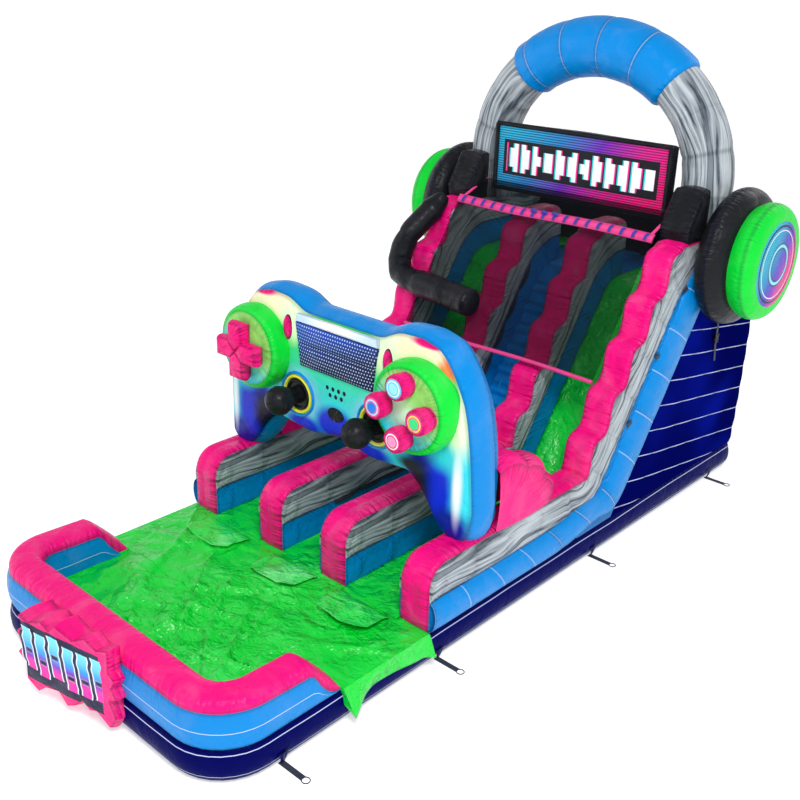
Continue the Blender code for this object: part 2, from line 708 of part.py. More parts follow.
def disc(name, centre, radius, depth, finish, sides=20):
    """A puffed round pad on the game pad's face, its back towards +Y."""
    profile = [(0.0, radius * 0.93), (-depth * 0.2, radius), (-depth * 0.7, radius * 0.97), (-depth, radius * 0.84)]
    bm, caps = rings_to_tube(turned(profile, centre, "Y", sides))
    return add_object(name, finish_mesh(name, bm), finish, centre)


def make_face_discs():
    """Green discs that carry the cross and the round buttons."""
    face = PAD_FRONT - GAP
    disc("cross_disc", (-DISC_X, face, DISC_Z), DISC_RADIUS, DISC_DEPTH, "green_vinyl")
    disc("button_disc", (DISC_X, face, DISC_Z), DISC_RADIUS, DISC_DEPTH, "green_vinyl")


def make_buttons():
    """Four round buttons on the right disc."""
    face = PAD_FRONT - DISC_DEPTH - 2 * GAP
    for word, turn in (("top", 90), ("outer", 0), ("bottom", 270), ("inner", 180)):
        angle = math.radians(turn)
        x = DISC_X + BUTTON_RING * math.cos(angle)
        z = DISC_Z + BUTTON_RING * math.sin(angle)
        disc(f"round_button_{word}", (x, face, z), BUTTON_RADIUS, BUTTON_DEPTH, "pink_vinyl", sides=14)


def make_direction_cross():
    """Puffed cross on the left disc."""
    half = CROSS_WIDTH / 2
    outline = []
    for quarter in range(4):
        turn = Matrix.Rotation(math.radians(90 * quarter), 2)
        for corner in ((CROSS_REACH, -half), (CROSS_REACH, half), (half, half)):
            point = turn @ Vector(corner)
            outline.append(Vector((point.x - DISC_X, point.y + DISC_Z)))
    face = PAD_FRONT - DISC_DEPTH - 2 * GAP
    solid("direction_cross", outline, face - BUTTON_DEPTH, face, "Y", "pink_vinyl", bevel=0.03)


def make_sticks():
    """Thumb sticks: a ball on a stalk, each turning at the pad's face."""
    face = PAD_FRONT - GAP
    for name, side in (("thumb_stick_left", -1), ("thumb_stick_right", 1)):
        pivot = (side * STICK_X, face, STICK_Z)
        neck = math.asin(STICK_STALK / STICK_BALL)
        profile = [(0.0, STICK_TIP), (-STICK_STALK * 0.3, STICK_STALK * 0.9)]
        profile.append((-STICK_STALK * 0.6, STICK_STALK))
        for turn in spread(neck, math.pi - 0.3, 7):
            profile.append((-STICK_REACH + STICK_BALL * math.cos(turn), STICK_BALL * math.sin(turn)))
        bm, caps = rings_to_tube(turned(profile, pivot, "Y", 12))
        add_object(name, finish_mesh(name, bm), "black_vinyl", pivot)


# ---- headphones ---------------------------------------------------------------------------------
def arch_point(angle):
    """Centre line of the arch; 0 is the right spring line, 90 the top."""
    turn = math.radians(angle)
    return Vector((ARCH_HALF * math.cos(turn), ARCH_Y, ARCH_SPRING_Z + ARCH_RISE * math.sin(turn)))


def arch_heading(angle):
    """Direction of the arch's centre line at an angle."""
    turn = math.radians(angle)
    return Vector((-ARCH_HALF * math.sin(turn), 0.0, ARCH_RISE * math.cos(turn)))


def make_arch():
    """Two legs on the outer walls and the padded top between them."""
    foot = TOWER_TOP + GAP
    leg_end = 90.0 - PAD_TUBE_HALF_ANGLE
    up = Vector((0.0, 0.0, 1.0))
    joint = arch_heading(leg_end)
    for name, side in (("arch_leg_right", 1), ("arch_leg_left", -1)):
        path = [Vector((ARCH_HALF, ARCH_Y, foot))] + [arch_point(a) for a in spread(0.0, leg_end, 6)]
        path = [Vector((side * p.x, p.y, p.z)) for p in path]
        ends = (up, Vector((side * joint.x, 0.0, joint.z)))
        inflated(name, swept_circle(path, [ARCH_RADIUS] * len(path), 14, ends), "marble_vinyl")
    shift = 2 * GAP
    path = [arch_point(a) for a in spread(leg_end, 180.0 - leg_end, 9)]
    path[0] += joint.normalized() * shift
    path[-1].x = -path[0].x
    path[-1].z = path[0].z
    ends = (joint, Vector((joint.x, 0.0, -joint.z)))
    inflated("arch_top_pad", swept_circle(path, [PAD_TUBE_RADIUS] * len(path), 14, ends), "blue_vinyl")


def make_ear_cups():
    """Black cushion against the tower's side and a green cap over it, on each side."""
    for word, side in (("right", 1), ("left", -1)):
        inner = (side * SIDE_X, CUP_Y, CUP_Z)
        d = CUSHION_DEPTH * side
        r = CUSHION_RADIUS
        boss = BOSS_DEPTH * side
        profile = [(0.0, CUP_BOSS), (boss, CUP_BOSS)]
        profile += [(boss + d * share, r * size) for share, size in CUSHION_SHAPE]
        inflated(f"ear_cushion_{word}", turned(profile, inner, "X", 24), "black_vinyl")
        outer = (side * (SIDE_X + BOSS_DEPTH + CUSHION_DEPTH + GAP), CUP_Y, CUP_Z)
        d = CAP_DEPTH * side
        r = CAP_RADIUS
        profile = [(d * share, r * size) for share, size in CAP_SHAPE]
        inflated(f"ear_cap_{word}", turned(profile, outer, "X", 24), "green_vinyl")


def make_blocks():
    """Black wedge blocks in front of the arch's legs."""
    back = ARCH_Y - ARCH_RADIUS - 4 * GAP
    seat = TOWER_TOP + GAP
    outline = [
        Vector((back - BLOCK_DEPTH, seat)), Vector((back, seat)), Vector((back, seat + BLOCK_HEIGHT)),
        Vector((back - BLOCK_DEPTH * 0.35, seat + BLOCK_HEIGHT)), Vector((back - BLOCK_DEPTH * 1.05, seat + 0.16)),
    ]
    for name, side in (("arch_block_right", 1), ("arch_block_left", -1)):
        edges = sorted((side * (OUTER_IN - 0.05), side * (HALF_WIDTH - GAP)))
        solid(name, outline, edges[0], edges[1], "X", "black_vinyl", bevel=0.04)


def make_banner():
    """Puffed banner between the arch's legs."""
    half = BANNER_HALF
    low, high = BANNER_BOTTOM, BANNER_BOTTOM + BANNER_HEIGHT
    outline = [Vector((-half, low)), Vector((half, low)), Vector((half, high)), Vector((-half, high))]
    solid("banner_panel", outline, BANNER_FRONT, BANNER_FRONT + BANNER_DEPTH, "Y", "black_vinyl", bevel=0.05)


def make_mic():
    """Bent microphone boom, tied to the left outer wall at its upper end."""
    path = [
        (0.29, 4.76, 4.20), (0.17, 4.47, 3.92), (-0.01, 4.19, 3.52), (-0.05, 4.07, 3.22),
        (0.07, 3.99, 3.04), (0.43, 3.89, 3.02), (0.89, 3.79, 3.01), (1.73, 3.75, 2.98),
    ]
    path = [(across - HALF_WIDTH, y, z) for across, y, z in path]
    radii = [MIC_RADIUS * 0.55, MIC_RADIUS * 0.9] + [MIC_RADIUS] * 5 + [MIC_RADIUS]
    bm, caps = rings_to_tube(swept_circle(path, radii, 12))
    add_object("microphone_boom", finish_mesh("microphone_boom", bm), "black_vinyl")


# ---- nets -------------------------------------------------------------------------------------------
def make_nets():
    """Safety net over the upper slope, bands included, and a net roof up to the banner."""
    lift = SLOPE_WALL + PILLOW_RISE + NET_CLEAR
    low = slope_point(NET_START, lift)
    high = slope_point(NET_END, lift)
    strip(("slope_net", low, high), OUTER_IN - GAP, "black_mesh")
    start = high + Vector((NET_THICK, NET_THICK))
    finish = Vector((BANNER_FRONT - NET_CLEAR, BANNER_BOTTOM + 0.10))
    strip(("roof_net", start, finish), OUTER_IN - 0.06, "black_mesh")


def strip(piece, half, finish):
    """A flat strip across the lanes between two side-view points."""
    name, start, end = piece
    path = [start, end]
    outline = offset_path(path, 0.0) + list(reversed(offset_path(path, NET_THICK)))
    solid(name, outline, -half, half, "X", finish)


# ---- sign -----------------------------------------------------------------------------------------------
def make_sign():
    """Spiky cut-out sign on the pool's front, thicker at its left end so that its face turns right."""
    outline = [
        (-0.66, 0.86), (-0.58, 1.00), (-0.40, 0.96), (-0.20, 1.06), (0.10, 1.00), (0.40, 1.10),
        (0.66, 1.02), (0.60, 0.84), (0.68, 0.60), (0.60, 0.42), (0.66, 0.10), (0.46, 0.30),
        (0.20, 0.28), (0.02, 0.12), (-0.14, 0.28), (-0.36, 0.22), (-0.52, 0.10), (-0.58, 0.36), (-0.70, 0.56),
    ]
    flat = [Vector((x * SIGN_HALF / 0.66, SIGN_BOTTOM + (z - 0.10) * (SIGN_TOP - SIGN_BOTTOM))) for x, z in outline]
    back = -POOL_LENGTH - GAP
    bm, sides = prism(flat, back - SIGN_THIN, back, "Y")
    for vert in bm.verts:
        if vert.co.y < back - SIGN_THIN / 2:
            share = min(max((SIGN_HALF - vert.co.x) / (2 * SIGN_HALF), 0.0), 1.0)
            vert.co.y = back - SIGN_THIN - (SIGN_THICK - SIGN_THIN) * share
    add_object("front_sign", finish_mesh("front_sign", bm), "pink_vinyl")


# ---- fittings ------------------------------------------------------------------------------------------------
def anchor_mesh():
    """Webbing strap lying outwards along +X with its stake ring, welded as one piece at the origin."""
    half = STRAP_WIDTH / 2
    outline = [Vector((0.0, -half)), Vector((STRAP_LENGTH, -half)), Vector((STRAP_LENGTH, half)), Vector((0.0, half))]
    bm, sides = prism(outline, 0.0, STRAP_THICK, "Z")
    mesh = finish_mesh("anchor_strap", bm)
    return mesh


def ring_mesh():
    """Stake ring, drawn around its own middle and lying flat."""
    bm = bmesh.new()
    rows = []
    for turn in spread(0.0, math.tau, 17)[:-1]:
        row = []
        for around in spread(0.0, math.tau, 7)[:-1]:
            reach = RING_RADIUS + RING_WIRE * math.cos(around)
            row.append(bm.verts.new((reach * math.cos(turn), reach * math.sin(turn), RING_WIRE * math.sin(around))))
        rows.append(row)
    for i in range(16):
        for k in range(6):
            following = rows[(i + 1) % 16]
            bm.faces.new((rows[i][k], following[k], following[(k + 1) % 6], rows[i][(k + 1) % 6]))
    return finish_mesh("stake_ring", bm)


def make_anchors():
    """Four stake straps a side, each hinged at the base's lower edge."""
    for word, side in (("right", 1), ("left", -1)):
        for number, row in enumerate(ANCHOR_ROWS, start=1):
            pivot = (side * (HALF_WIDTH + 2 * GAP), row, 0.0)
            strap = anchor_mesh()
            ring = ring_mesh()
            ring.transform(Matrix.Translation((STRAP_LENGTH + RING_RADIUS - 0.006, 0.0, RING_WIRE)))
            if side < 0:
                flip = Matrix.Diagonal((-1.0, 1.0, 1.0, 1.0))
                for mesh in (strap, ring):
                    mesh.transform(flip)
                    mesh.flip_normals()
            place = Matrix.Translation(pivot)
            strap.transform(place)
            ring.transform(place)
            made = add_object(f"stake_strap_{word}_{number}", strap, "webbing", pivot)
            cutter = add_object(f"ring_{word}_{number}", ring, "webbing", pivot)
            cutter.hide_render = True
            cutter.display_type = "WIRE"
            join = made.modifiers.new("ring", "BOOLEAN")
            join.operation = "UNION"
            join.object = cutter
            join.solver = "EXACT"


def make_zips():
    """Deflation zips low on the right side, with sliders that run up them."""
    inner = HALF_WIDTH + GAP
    for number, row in enumerate(ZIP_ROWS, start=1):
        half = ZIP_WIDTH / 2
        top = ZIP_BOTTOM + ZIP_LENGTH
        tape = [Vector((row - half, ZIP_BOTTOM)), Vector((row + half, ZIP_BOTTOM)), Vector((row + half, top)), Vector((row - half, top))]
        solid(f"deflation_zip_{number}", tape, inner, inner + ZIP_THICK, "X", "zip_plastic")
        outer = inner + ZIP_THICK + GAP
        narrow = ZIP_WIDTH * 0.3
        low = ZIP_BOTTOM + 0.01
        slider = [
            Vector((row - narrow, low)), Vector((row + narrow, low)),
            Vector((row + narrow * 0.7, low + SLIDER_LENGTH)), Vector((row - narrow * 0.7, low + SLIDER_LENGTH)),
        ]
        solid(f"zip_slider_{number}", slider, outer, outer + 0.012, "X", "ring_steel", origin=(outer, row, low))


def make_sleeve():
    """Inflation sleeve at the tower's back, open at its end for the blower's nozzle."""
    start = (SLEEVE_X, TOWER_LENGTH + GAP, SLEEVE_Z)
    bore = SLEEVE_RADIUS - SLEEVE_WALL
    profile = [(SLEEVE_WALL, bore), (SLEEVE_LENGTH, bore), (SLEEVE_LENGTH, SLEEVE_RADIUS), (0.0, SLEEVE_RADIUS)]
    bm, caps = rings_to_tube(turned(profile, start, "Y", 16))
    add_object("inflation_sleeve", finish_mesh("inflation_sleeve", bm), "navy_vinyl")


def build():
    clear_scene()
    make_base()
    make_tower()
    make_bed()
    make_lane_walls()
    make_slide_liners()
    make_climb_ramp()
    make_hand_holds()
    make_side_tubes()
    make_pool_wall()
    make_pool_liner()
    make_seam_flaps()
    make_braces()
    make_game_pad()
    make_face_discs()
    make_buttons()
    make_direction_cross()
    make_sticks()
    make_arch()
    make_ear_cups()
    make_blocks()
    make_banner()
    make_mic()
    make_nets()
    make_sign()
    make_anchors()
    make_zips()
    make_sleeve()


build()
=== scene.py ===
"""Looks of the inflatable twin-lane water slide: puffed vinyl, seams, nets, prints and fittings.

Everything is placed from the packed frame. Points are drawn in lane coordinates, whose Y is 0 at the
mouths of the lanes, and are shifted into the frame when a piece is finished.
"""

import math

import bmesh
import bpy
from mathutils import Matrix, Vector, noise


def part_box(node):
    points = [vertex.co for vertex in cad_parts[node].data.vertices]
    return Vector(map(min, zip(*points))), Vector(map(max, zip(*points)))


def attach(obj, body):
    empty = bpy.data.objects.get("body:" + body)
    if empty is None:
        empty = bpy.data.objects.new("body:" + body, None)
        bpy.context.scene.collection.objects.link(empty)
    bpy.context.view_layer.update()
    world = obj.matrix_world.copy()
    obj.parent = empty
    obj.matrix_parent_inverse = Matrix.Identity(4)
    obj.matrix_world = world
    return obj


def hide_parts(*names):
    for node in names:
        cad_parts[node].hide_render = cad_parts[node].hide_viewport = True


bl_info = {
    "name": "Inflatable Water Slide Looks",
    "version": (1, 0, 0),
    "blender": (4, 5, 0),
    "location": "3D View > Sidebar > Slide",
    "description": "Puffed vinyl, nets and prints for an inflatable water slide",
    "category": "Object",
}

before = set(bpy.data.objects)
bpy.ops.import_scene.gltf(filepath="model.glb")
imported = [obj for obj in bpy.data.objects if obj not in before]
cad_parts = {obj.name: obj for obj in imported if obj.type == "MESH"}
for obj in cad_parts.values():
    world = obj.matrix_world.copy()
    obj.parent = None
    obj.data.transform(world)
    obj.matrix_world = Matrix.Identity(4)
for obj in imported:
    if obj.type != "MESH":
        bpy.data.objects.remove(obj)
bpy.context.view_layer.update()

# ---- places from the frame -------------------------------
BODY = "slide"
BASE_LOW, BASE_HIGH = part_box("ground_base")
OUTER_LOW, OUTER_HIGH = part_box("lane_wall_right_outer")
INNER_LOW, INNER_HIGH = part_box("lane_wall_right_inner")
BED_LOW, BED_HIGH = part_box("slide_bed")
PAD_LOW, PAD_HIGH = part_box("game_pad_body")
MOUTH = OUTER_LOW.y
HALF = BASE_HIGH.x
BASE_Z = BASE_HIGH.z
POOL_FRONT = BASE_LOW.y - MOUTH
BACK = BASE_HIGH.y - MOUTH
TOP_Z = OUTER_HIGH.z
PLATFORM_Z = BED_HIGH.z
OUTER_IN = OUTER_LOW.x
CENTRE_HALF = INNER_LOW.x
INNER_OUT = INNER_HIGH.x
WALL_END = OUTER_HIGH.y - MOUTH
INNER_END = INNER_HIGH.y - MOUTH
BED_TOE_Y = BED_LOW.y - MOUTH

# ---- the slope's own sizes, as the frame has them --------
SLOPE = math.radians(56.3)
SLOPE_FOOT = 3.57
BED_TOE = 0.03
LANE_FLOOR = BASE_Z + BED_TOE
FOOT_RADIUS = 1.0
CREST_RADIUS = 0.5
WALL_TOP = 1.27
WALL_NOSE = 0.28
SLOPE_WALL = 0.80
POOL_WALL = 0.40
POOL_TOP = 1.0
POOL_ARM_END = -1.40
CORNER = 0.65
ALONG = Vector((math.cos(SLOPE), math.sin(SLOPE)))
SQUARE = Vector((-math.sin(SLOPE), math.cos(SLOPE)))
SEAM_EVERY = 0.62
LINER_LIFT = 0.022
WELD_LEAN = 0.16
TUBE_BEHIND = 0.28
PUFF_WIDTH = 0.54
SIDES = (("left", -1.0), ("right", 1.0))


def length_property(name, description, default, least, most):
    return bpy.props.FloatProperty(
        name=name, description=description, default=default, min=least, max=most, unit="LENGTH",
    )


class SlideSizes(bpy.types.PropertyGroup):
    """Puffs, folds and seams that a user may want to change."""

    puff: length_property("Puff", "How far a wall's side bulges between seams", 0.035, 0.0, 0.1)
    pillow_rise: length_property("Pillow rise", "Height of the pillows along the walls", 0.15, 0.0, 0.3)
    pillows: bpy.props.IntProperty(
        name="Pillows", description="Pillows along each wall's slope", default=5, min=1, max=12,
    )
    band: length_property("Blue band", "Height of the blue lower band on the lane walls", 0.41, 0.1, 0.7)
    crumple: length_property("Crumple", "Depth of the pool liner's folds", 0.06, 0.0, 0.1)
    pucker: length_property("Pucker", "Depth of the creases that run out of a seam", 0.012, 0.0, 0.05)
    welds: length_property("Weld spacing", "Distance between the welded lines on the tower", 0.36, 0.1, 1.0)
    net_cell: length_property("Net cell", "Width of one opening of the net", 0.011, 0.002, 0.1)


def colour_property(name, description, default):
    return bpy.props.FloatVectorProperty(
        name=name, description=description, default=default, subtype="COLOR", size=3, min=0.0, max=1.0,
    )


class SlideColours(bpy.types.PropertyGroup):
    """Vinyl and print colours."""

    pink: colour_property("Pink", "Wall tops and pool crown", (0.88, 0.003, 0.200))
    pink_light: colour_property("Light pink", "Bands of the net", (0.95, 0.07, 0.30))
    blue: colour_property("Blue", "Lower bands, tubes and gusset", (0.000, 0.230, 0.640))
    navy: colour_property("Navy", "Base and tower", (0.001, 0.002, 0.085))
    green: colour_property("Green", "Liners and ear caps", (0.002, 0.670, 0.040))
    green_light: colour_property("Light green", "Faces of the discs", (0.28, 0.80, 0.16))
    marble_light: colour_property("Light marble", "Ground of the marble print", (0.35, 0.39, 0.42))
    marble_dark: colour_property("Dark marble", "Streaks of the marble print", (0.040, 0.052, 0.070))
    black: colour_property("Black", "Cushions, blocks, boom and sticks", (0.008, 0.009, 0.012))
    cream: colour_property("Cream", "Shoulders of the game pad", (0.90, 0.82, 0.55))
    cyan: colour_property("Cyan", "Tints of the prints", (0.03, 0.62, 0.75))
    deep_blue: colour_property("Deep blue", "Grips of the game pad", (0.005, 0.020, 0.62))
    violet: colour_property("Violet", "Middle of the gradients", (0.20, 0.03, 0.55))
    orange: colour_property("Orange", "Tint of the shoulders", (0.90, 0.22, 0.04))
    yellow: colour_property("Yellow", "Rings round the sticks", (0.80, 0.75, 0.05))
    # Thread is the pale of the welded lines: the welds are real, their pale is a painted highlight along them.
    thread: colour_property("Thread", "Pale welded lines", (0.55, 0.62, 0.85))
    floor: colour_property("Floor", "Ground of the stage", (0.94, 0.94, 0.94))


def sizes():
    return bpy.context.scene.slide_sizes


def colour(name):
    return tuple(getattr(bpy.context.scene.slide_colours, name))


# ---- small helpers ---------------------------------------
def spread(low, high, count):
    """Evenly spaced values, both ends included."""
    return [low + (high - low) * i / (count - 1) for i in range(count)]


def parts(count):
    """Evenly spaced shares, from 0 to 1."""
    return spread(0.0, 1.0, count)


def hump(share):
    """0 at both ends and 1 in the middle."""
    return math.sin(math.pi * share)


def mix(low, high, share):
    return low + (high - low) * share


def arc(centre, radius, start, end, count):
    """Points on an arc in a plane, angles in degrees."""
    turns = spread(math.radians(start), math.radians(end), count)
    return [Vector((centre[0] + radius * math.cos(a), centre[1] + radius * math.sin(a))) for a in turns]


def lengths(points):
    """Running length at each point of a path."""
    total = [0.0]
    for before, after in zip(points, points[1:]):
        total.append(total[-1] + (after - before).length)
    return total


def resample(points, step):
    """The same path with points about a step apart."""
    run = lengths(points)
    count = max(2, round(run[-1] / step) + 1)
    return [point_at(points, run, target) for target in spread(0.0, run[-1], count)]


def point_at(points, run, target):
    """The point at a length along a path."""
    for k in range(1, len(points)):
        if run[k] >= target or k == len(points) - 1:
            share = (target - run[k - 1]) / max(run[k] - run[k - 1], 1e-9)
            return points[k - 1].lerp(points[k], min(max(share, 0.0), 1.0))
    return points[-1]


def between(value, table):
    """Straight-line look-up in a table of (input, output)."""
    for (a, low), (b, high) in zip(table, table[1:]):
        if value <= b:
            return mix(low, high, (value - a) / max(b - a, 1e-9))
    return table[-1][1]


def rounded(points):
    """A closed outline with its corners cut round."""
    found = []
    for here, after in zip(points, points[1:] + points[:1]):
        found += [here.lerp(after, 0.25), here.lerp(after, 0.75)]
    return found


def divided(corners, count):
    """A closed outline with each side divided into a number of parts."""
    found = []
    for here, after in zip(corners, corners[1:] + corners[:1]):
        found += [here.lerp(after, k / count) for k in range(count)]
    return found


def all_round(count):
    """Evenly spaced angles, once round."""
    return spread(0.0, math.tau, count + 1)[:-1]


def heading(points, i):
    """Direction of a path at one of its points."""
    return (points[min(i + 1, len(points) - 1)] - points[max(i - 1, 0)]).normalized()


def square_to(way):
    """The direction a quarter turn to the left of another, in a plane."""
    return Vector((-way.y, way.x))


def off_line(value, spacing):
    """Distance from the nearest of a set of evenly spaced lines."""
    return abs((value / spacing + 0.5) % 1.0 - 0.5) * spacing


def lane_box(node):
    """Low corner, high corner and middle of a node, in lane coordinates."""
    low, high = (corner - Vector((0.0, MOUTH, 0.0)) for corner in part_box(node))
    return low, high, (low + high) / 2


def crumple(point, scale):
    """Sharp-ridged folds, from -1 to 1."""
    first = 1.0 - 2.0 * abs(noise.noise(point * scale))
    second = 1.0 - 2.0 * abs(noise.noise(point * scale * 2.3 + Vector((5.2, 1.7, 8.1))))
    return first * 0.65 + second * 0.35 - 0.55


# ---- sewing ----------------------------------------------
class Cloth:
    """A piece sewn from grids of points, with a map of its seams and one of its print."""

    def __init__(self):
        self.bm = bmesh.new()
        self.seams = self.bm.loops.layers.uv.new("seams")
        self.prints = self.bm.loops.layers.uv.new("print")

    def grid(self, rows, finish=0, wrap=False, seam=None, printed=None, choose=None):
        """Sews a grid. seam and printed give a map's two numbers at row i and column j."""
        seam = seam or (lambda i, j: (0.0, 1.0))
        printed = printed or (lambda i, j: (0.0, 0.0))
        verts = [[self.bm.verts.new(p) for p in row] for row in rows]
        across = len(rows[0])
        for i in range(len(rows) - 1):
            for j in range(across if wrap else across - 1):
                k = (j + 1) % across
                corners = (verts[i][j], verts[i][k], verts[i + 1][k], verts[i + 1][j])
                if len({v.co.to_tuple(5) for v in corners}) < 3:
                    continue
                face = self.bm.faces.new(corners)
                face.material_index = choose(i, j) if choose else finish
                places = ((i, j), (i, j + 1), (i + 1, j + 1), (i + 1, j))
                for loop, place in zip(face.loops, places):
                    loop[self.seams].uv = seam(*place)
                    loop[self.prints].uv = printed(*place)
        return verts

    def cap(self, verts, finish=0):
        """Closes a ring of points with one flat face."""
        face = self.bm.faces.new(verts)
        face.material_index = finish
        for loop in face.loops:
            loop[self.seams].uv = (0.0, 1.0)
            loop[self.prints].uv = (loop.vert.co.x, loop.vert.co.z)

    def close(self, rows, back=0, front=0):
        """Closes both ends of a ring-shaped grid."""
        self.cap(rows[0], back)
        self.cap(rows[-1], front)

    def skin(self, node, finishes, slot, body=BODY):
        """Turns the sewn grids into the skin that stands for one node."""
        return self.finish(f"{node}_skin", finishes, slot, body, (node,))

    def finish(self, name, finishes, slot, body=BODY, replaces=()):
        """Turns the sewn grids into a piece of the slide."""
        bmesh.ops.remove_doubles(self.bm, verts=self.bm.verts, dist=0.0004)
        bmesh.ops.recalc_face_normals(self.bm, faces=self.bm.faces)
        mesh = bpy.data.meshes.new(name)
        self.bm.to_mesh(mesh)
        self.bm.free()
        mesh.transform(Matrix.Translation((0.0, MOUTH, 0.0)))
        for one in finishes:
            mesh.materials.append(material(one))
        mesh.shade_smooth()
        mesh.set_sharp_from_angle(angle=math.radians(50))
        made = bpy.data.objects.new(name, mesh)
        bpy.context.scene.collection.objects.link(made)
        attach(made, body)
        if replaces:
            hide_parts(*replaces)
        return made


def thicken(piece, thickness):
    """Gives a sheet its thickness."""
    solidify = piece.modifiers.new("thickness", "SOLIDIFY")
    solidify.thickness = thickness
    solidify.offset = 0.0


def repaint(node, finish):
    """A CAD node keeps its shape and takes a finish."""
    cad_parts[node].material_slots[0].material = material(finish)


def tube(cloth, path, radii, sides=24, seam_every=0.0, pinch=0.0, up=(0.0, 1.0, 0.0)):
    """A round inflated tube along a path, drawn in a little at each ring seam."""
    run = lengths(path)
    rows = []
    for i, here in enumerate(path):
        ahead = heading(path, i)
        side = ahead.cross(Vector(up)).normalized()
        other = ahead.cross(side)
        radius = radii(run[i] / run[-1]) if callable(radii) else radii
        if seam_every:
            radius -= pinch * math.exp(-off_line(run[i], seam_every) / 0.035)
        rows.append([here + (side * math.cos(t) + other * math.sin(t)) * radius for t in all_round(sides)])
    girth = math.tau * (rows[0][0] - path[0]).length

    def seam(i, j):
        near = min(run[i], run[-1] - run[i])
        return girth * j / sides, min(near, off_line(run[i], seam_every)) if seam_every else near

    verts = cloth.grid(rows, 0, True, seam, lambda i, j: (run[i], girth * j / sides))
    cloth.close(verts)


def turned(cloth, profile, centre, axis, sides=48, finishes=None, seams=()):
    """A turned piece. The profile is (distance along the axis, radius), and seams lists its seam rows."""
    run = lengths([Vector(p) for p in profile])
    rows = []
    for along, radius in profile:
        row = []
        for turn in all_round(sides):
            a, b = radius * math.cos(turn), radius * math.sin(turn)
            offset = Vector((along, a, b)) if axis == "X" else Vector((a, along, b))
            row.append(Vector(centre) + offset)
        rows.append(row)
    widest = max(radius for _, radius in profile)

    def seam(i, j):
        near = min([abs(run[i] - run[k]) for k in seams] or [1.0])
        return math.tau * widest * j / sides, near

    def printed(i, j):
        turn = math.tau * j / sides
        return profile[i][1] * math.cos(turn), profile[i][1] * math.sin(turn)

    choose = (lambda i, j: finishes[i]) if finishes else None
    return cloth.grid(rows, 0, True, seam, printed, choose)


def pillow(cloth, outline, depths, axis, bulges, finishes=(0, 0, 0), rings=7, warp=None):
    """A puffed bag: back face, gusset and front face round a dense closed outline.

    depths are those of the back and the front, bulges those of the gusset and of each face.
    """
    centre = sum(outline, Vector((0.0, 0.0))) / len(outline)
    run = lengths(outline + outline[:1])
    reach = sum((p - centre).length for p in outline) / len(outline)
    back, front = depths
    way = math.copysign(1.0, front - back)
    gusset, face = bulges

    def half(depth, lift, shares):
        return [(math.sin(share * math.pi / 2), 0.0, depth, lift, (1.0 - share) * reach) for share in shares]

    sides, thick = [], abs(front - back)
    for share in parts(7)[1:-1]:
        near = min(share, 1.0 - share) * thick
        sides.append((1.0, hump(share), mix(back, front, share), 0.0, near))
    shares = parts(rings + 1)
    steps = half(back, -way, shares) + sides + half(front, way, shares[::-1])
    rows = []
    for scale, out, depth, lift, _ in steps:
        row = []
        for p in outline:
            point = centre + (p - centre) * max(scale, 0.001) + (p - centre).normalized() * gusset * out
            along = depth + lift * face * (1.0 - scale ** 2) ** 0.7
            spot = Vector((along, point.x, point.y)) if axis == "X" else Vector((point.x, along, point.y))
            row.append(warp(spot) if warp else spot)
        rows.append(row)

    def seam(i, j):
        return run[j], steps[i][4]

    def printed(i, j):
        return tuple(centre + (outline[j % len(outline)] - centre) * steps[i][0])

    def choose(i, j):
        if i < rings:
            return finishes[0]
        return finishes[1] if i < len(steps) - 1 - rings else finishes[2]

    verts = cloth.grid(rows, 0, True, seam, printed, choose)
    cloth.close(verts, finishes[0], finishes[2])


def ribbon(cloth, path, width, wide, thick=0.004):
    """A flat strap along a path; wide is the direction of its width."""
    wide = Vector(wide).normalized() * width / 2
    run = lengths(path)
    rows = []
    for i, here in enumerate(path):
        lift = heading(path, i).cross(wide).normalized() * thick / 2
        rows.append([here - wide - lift, here + wide - lift, here + wide + lift, here - wide + lift])
    verts = cloth.grid(rows, 0, True, None, lambda i, j: (run[i], (j % 2) * width))
    cloth.close(verts)


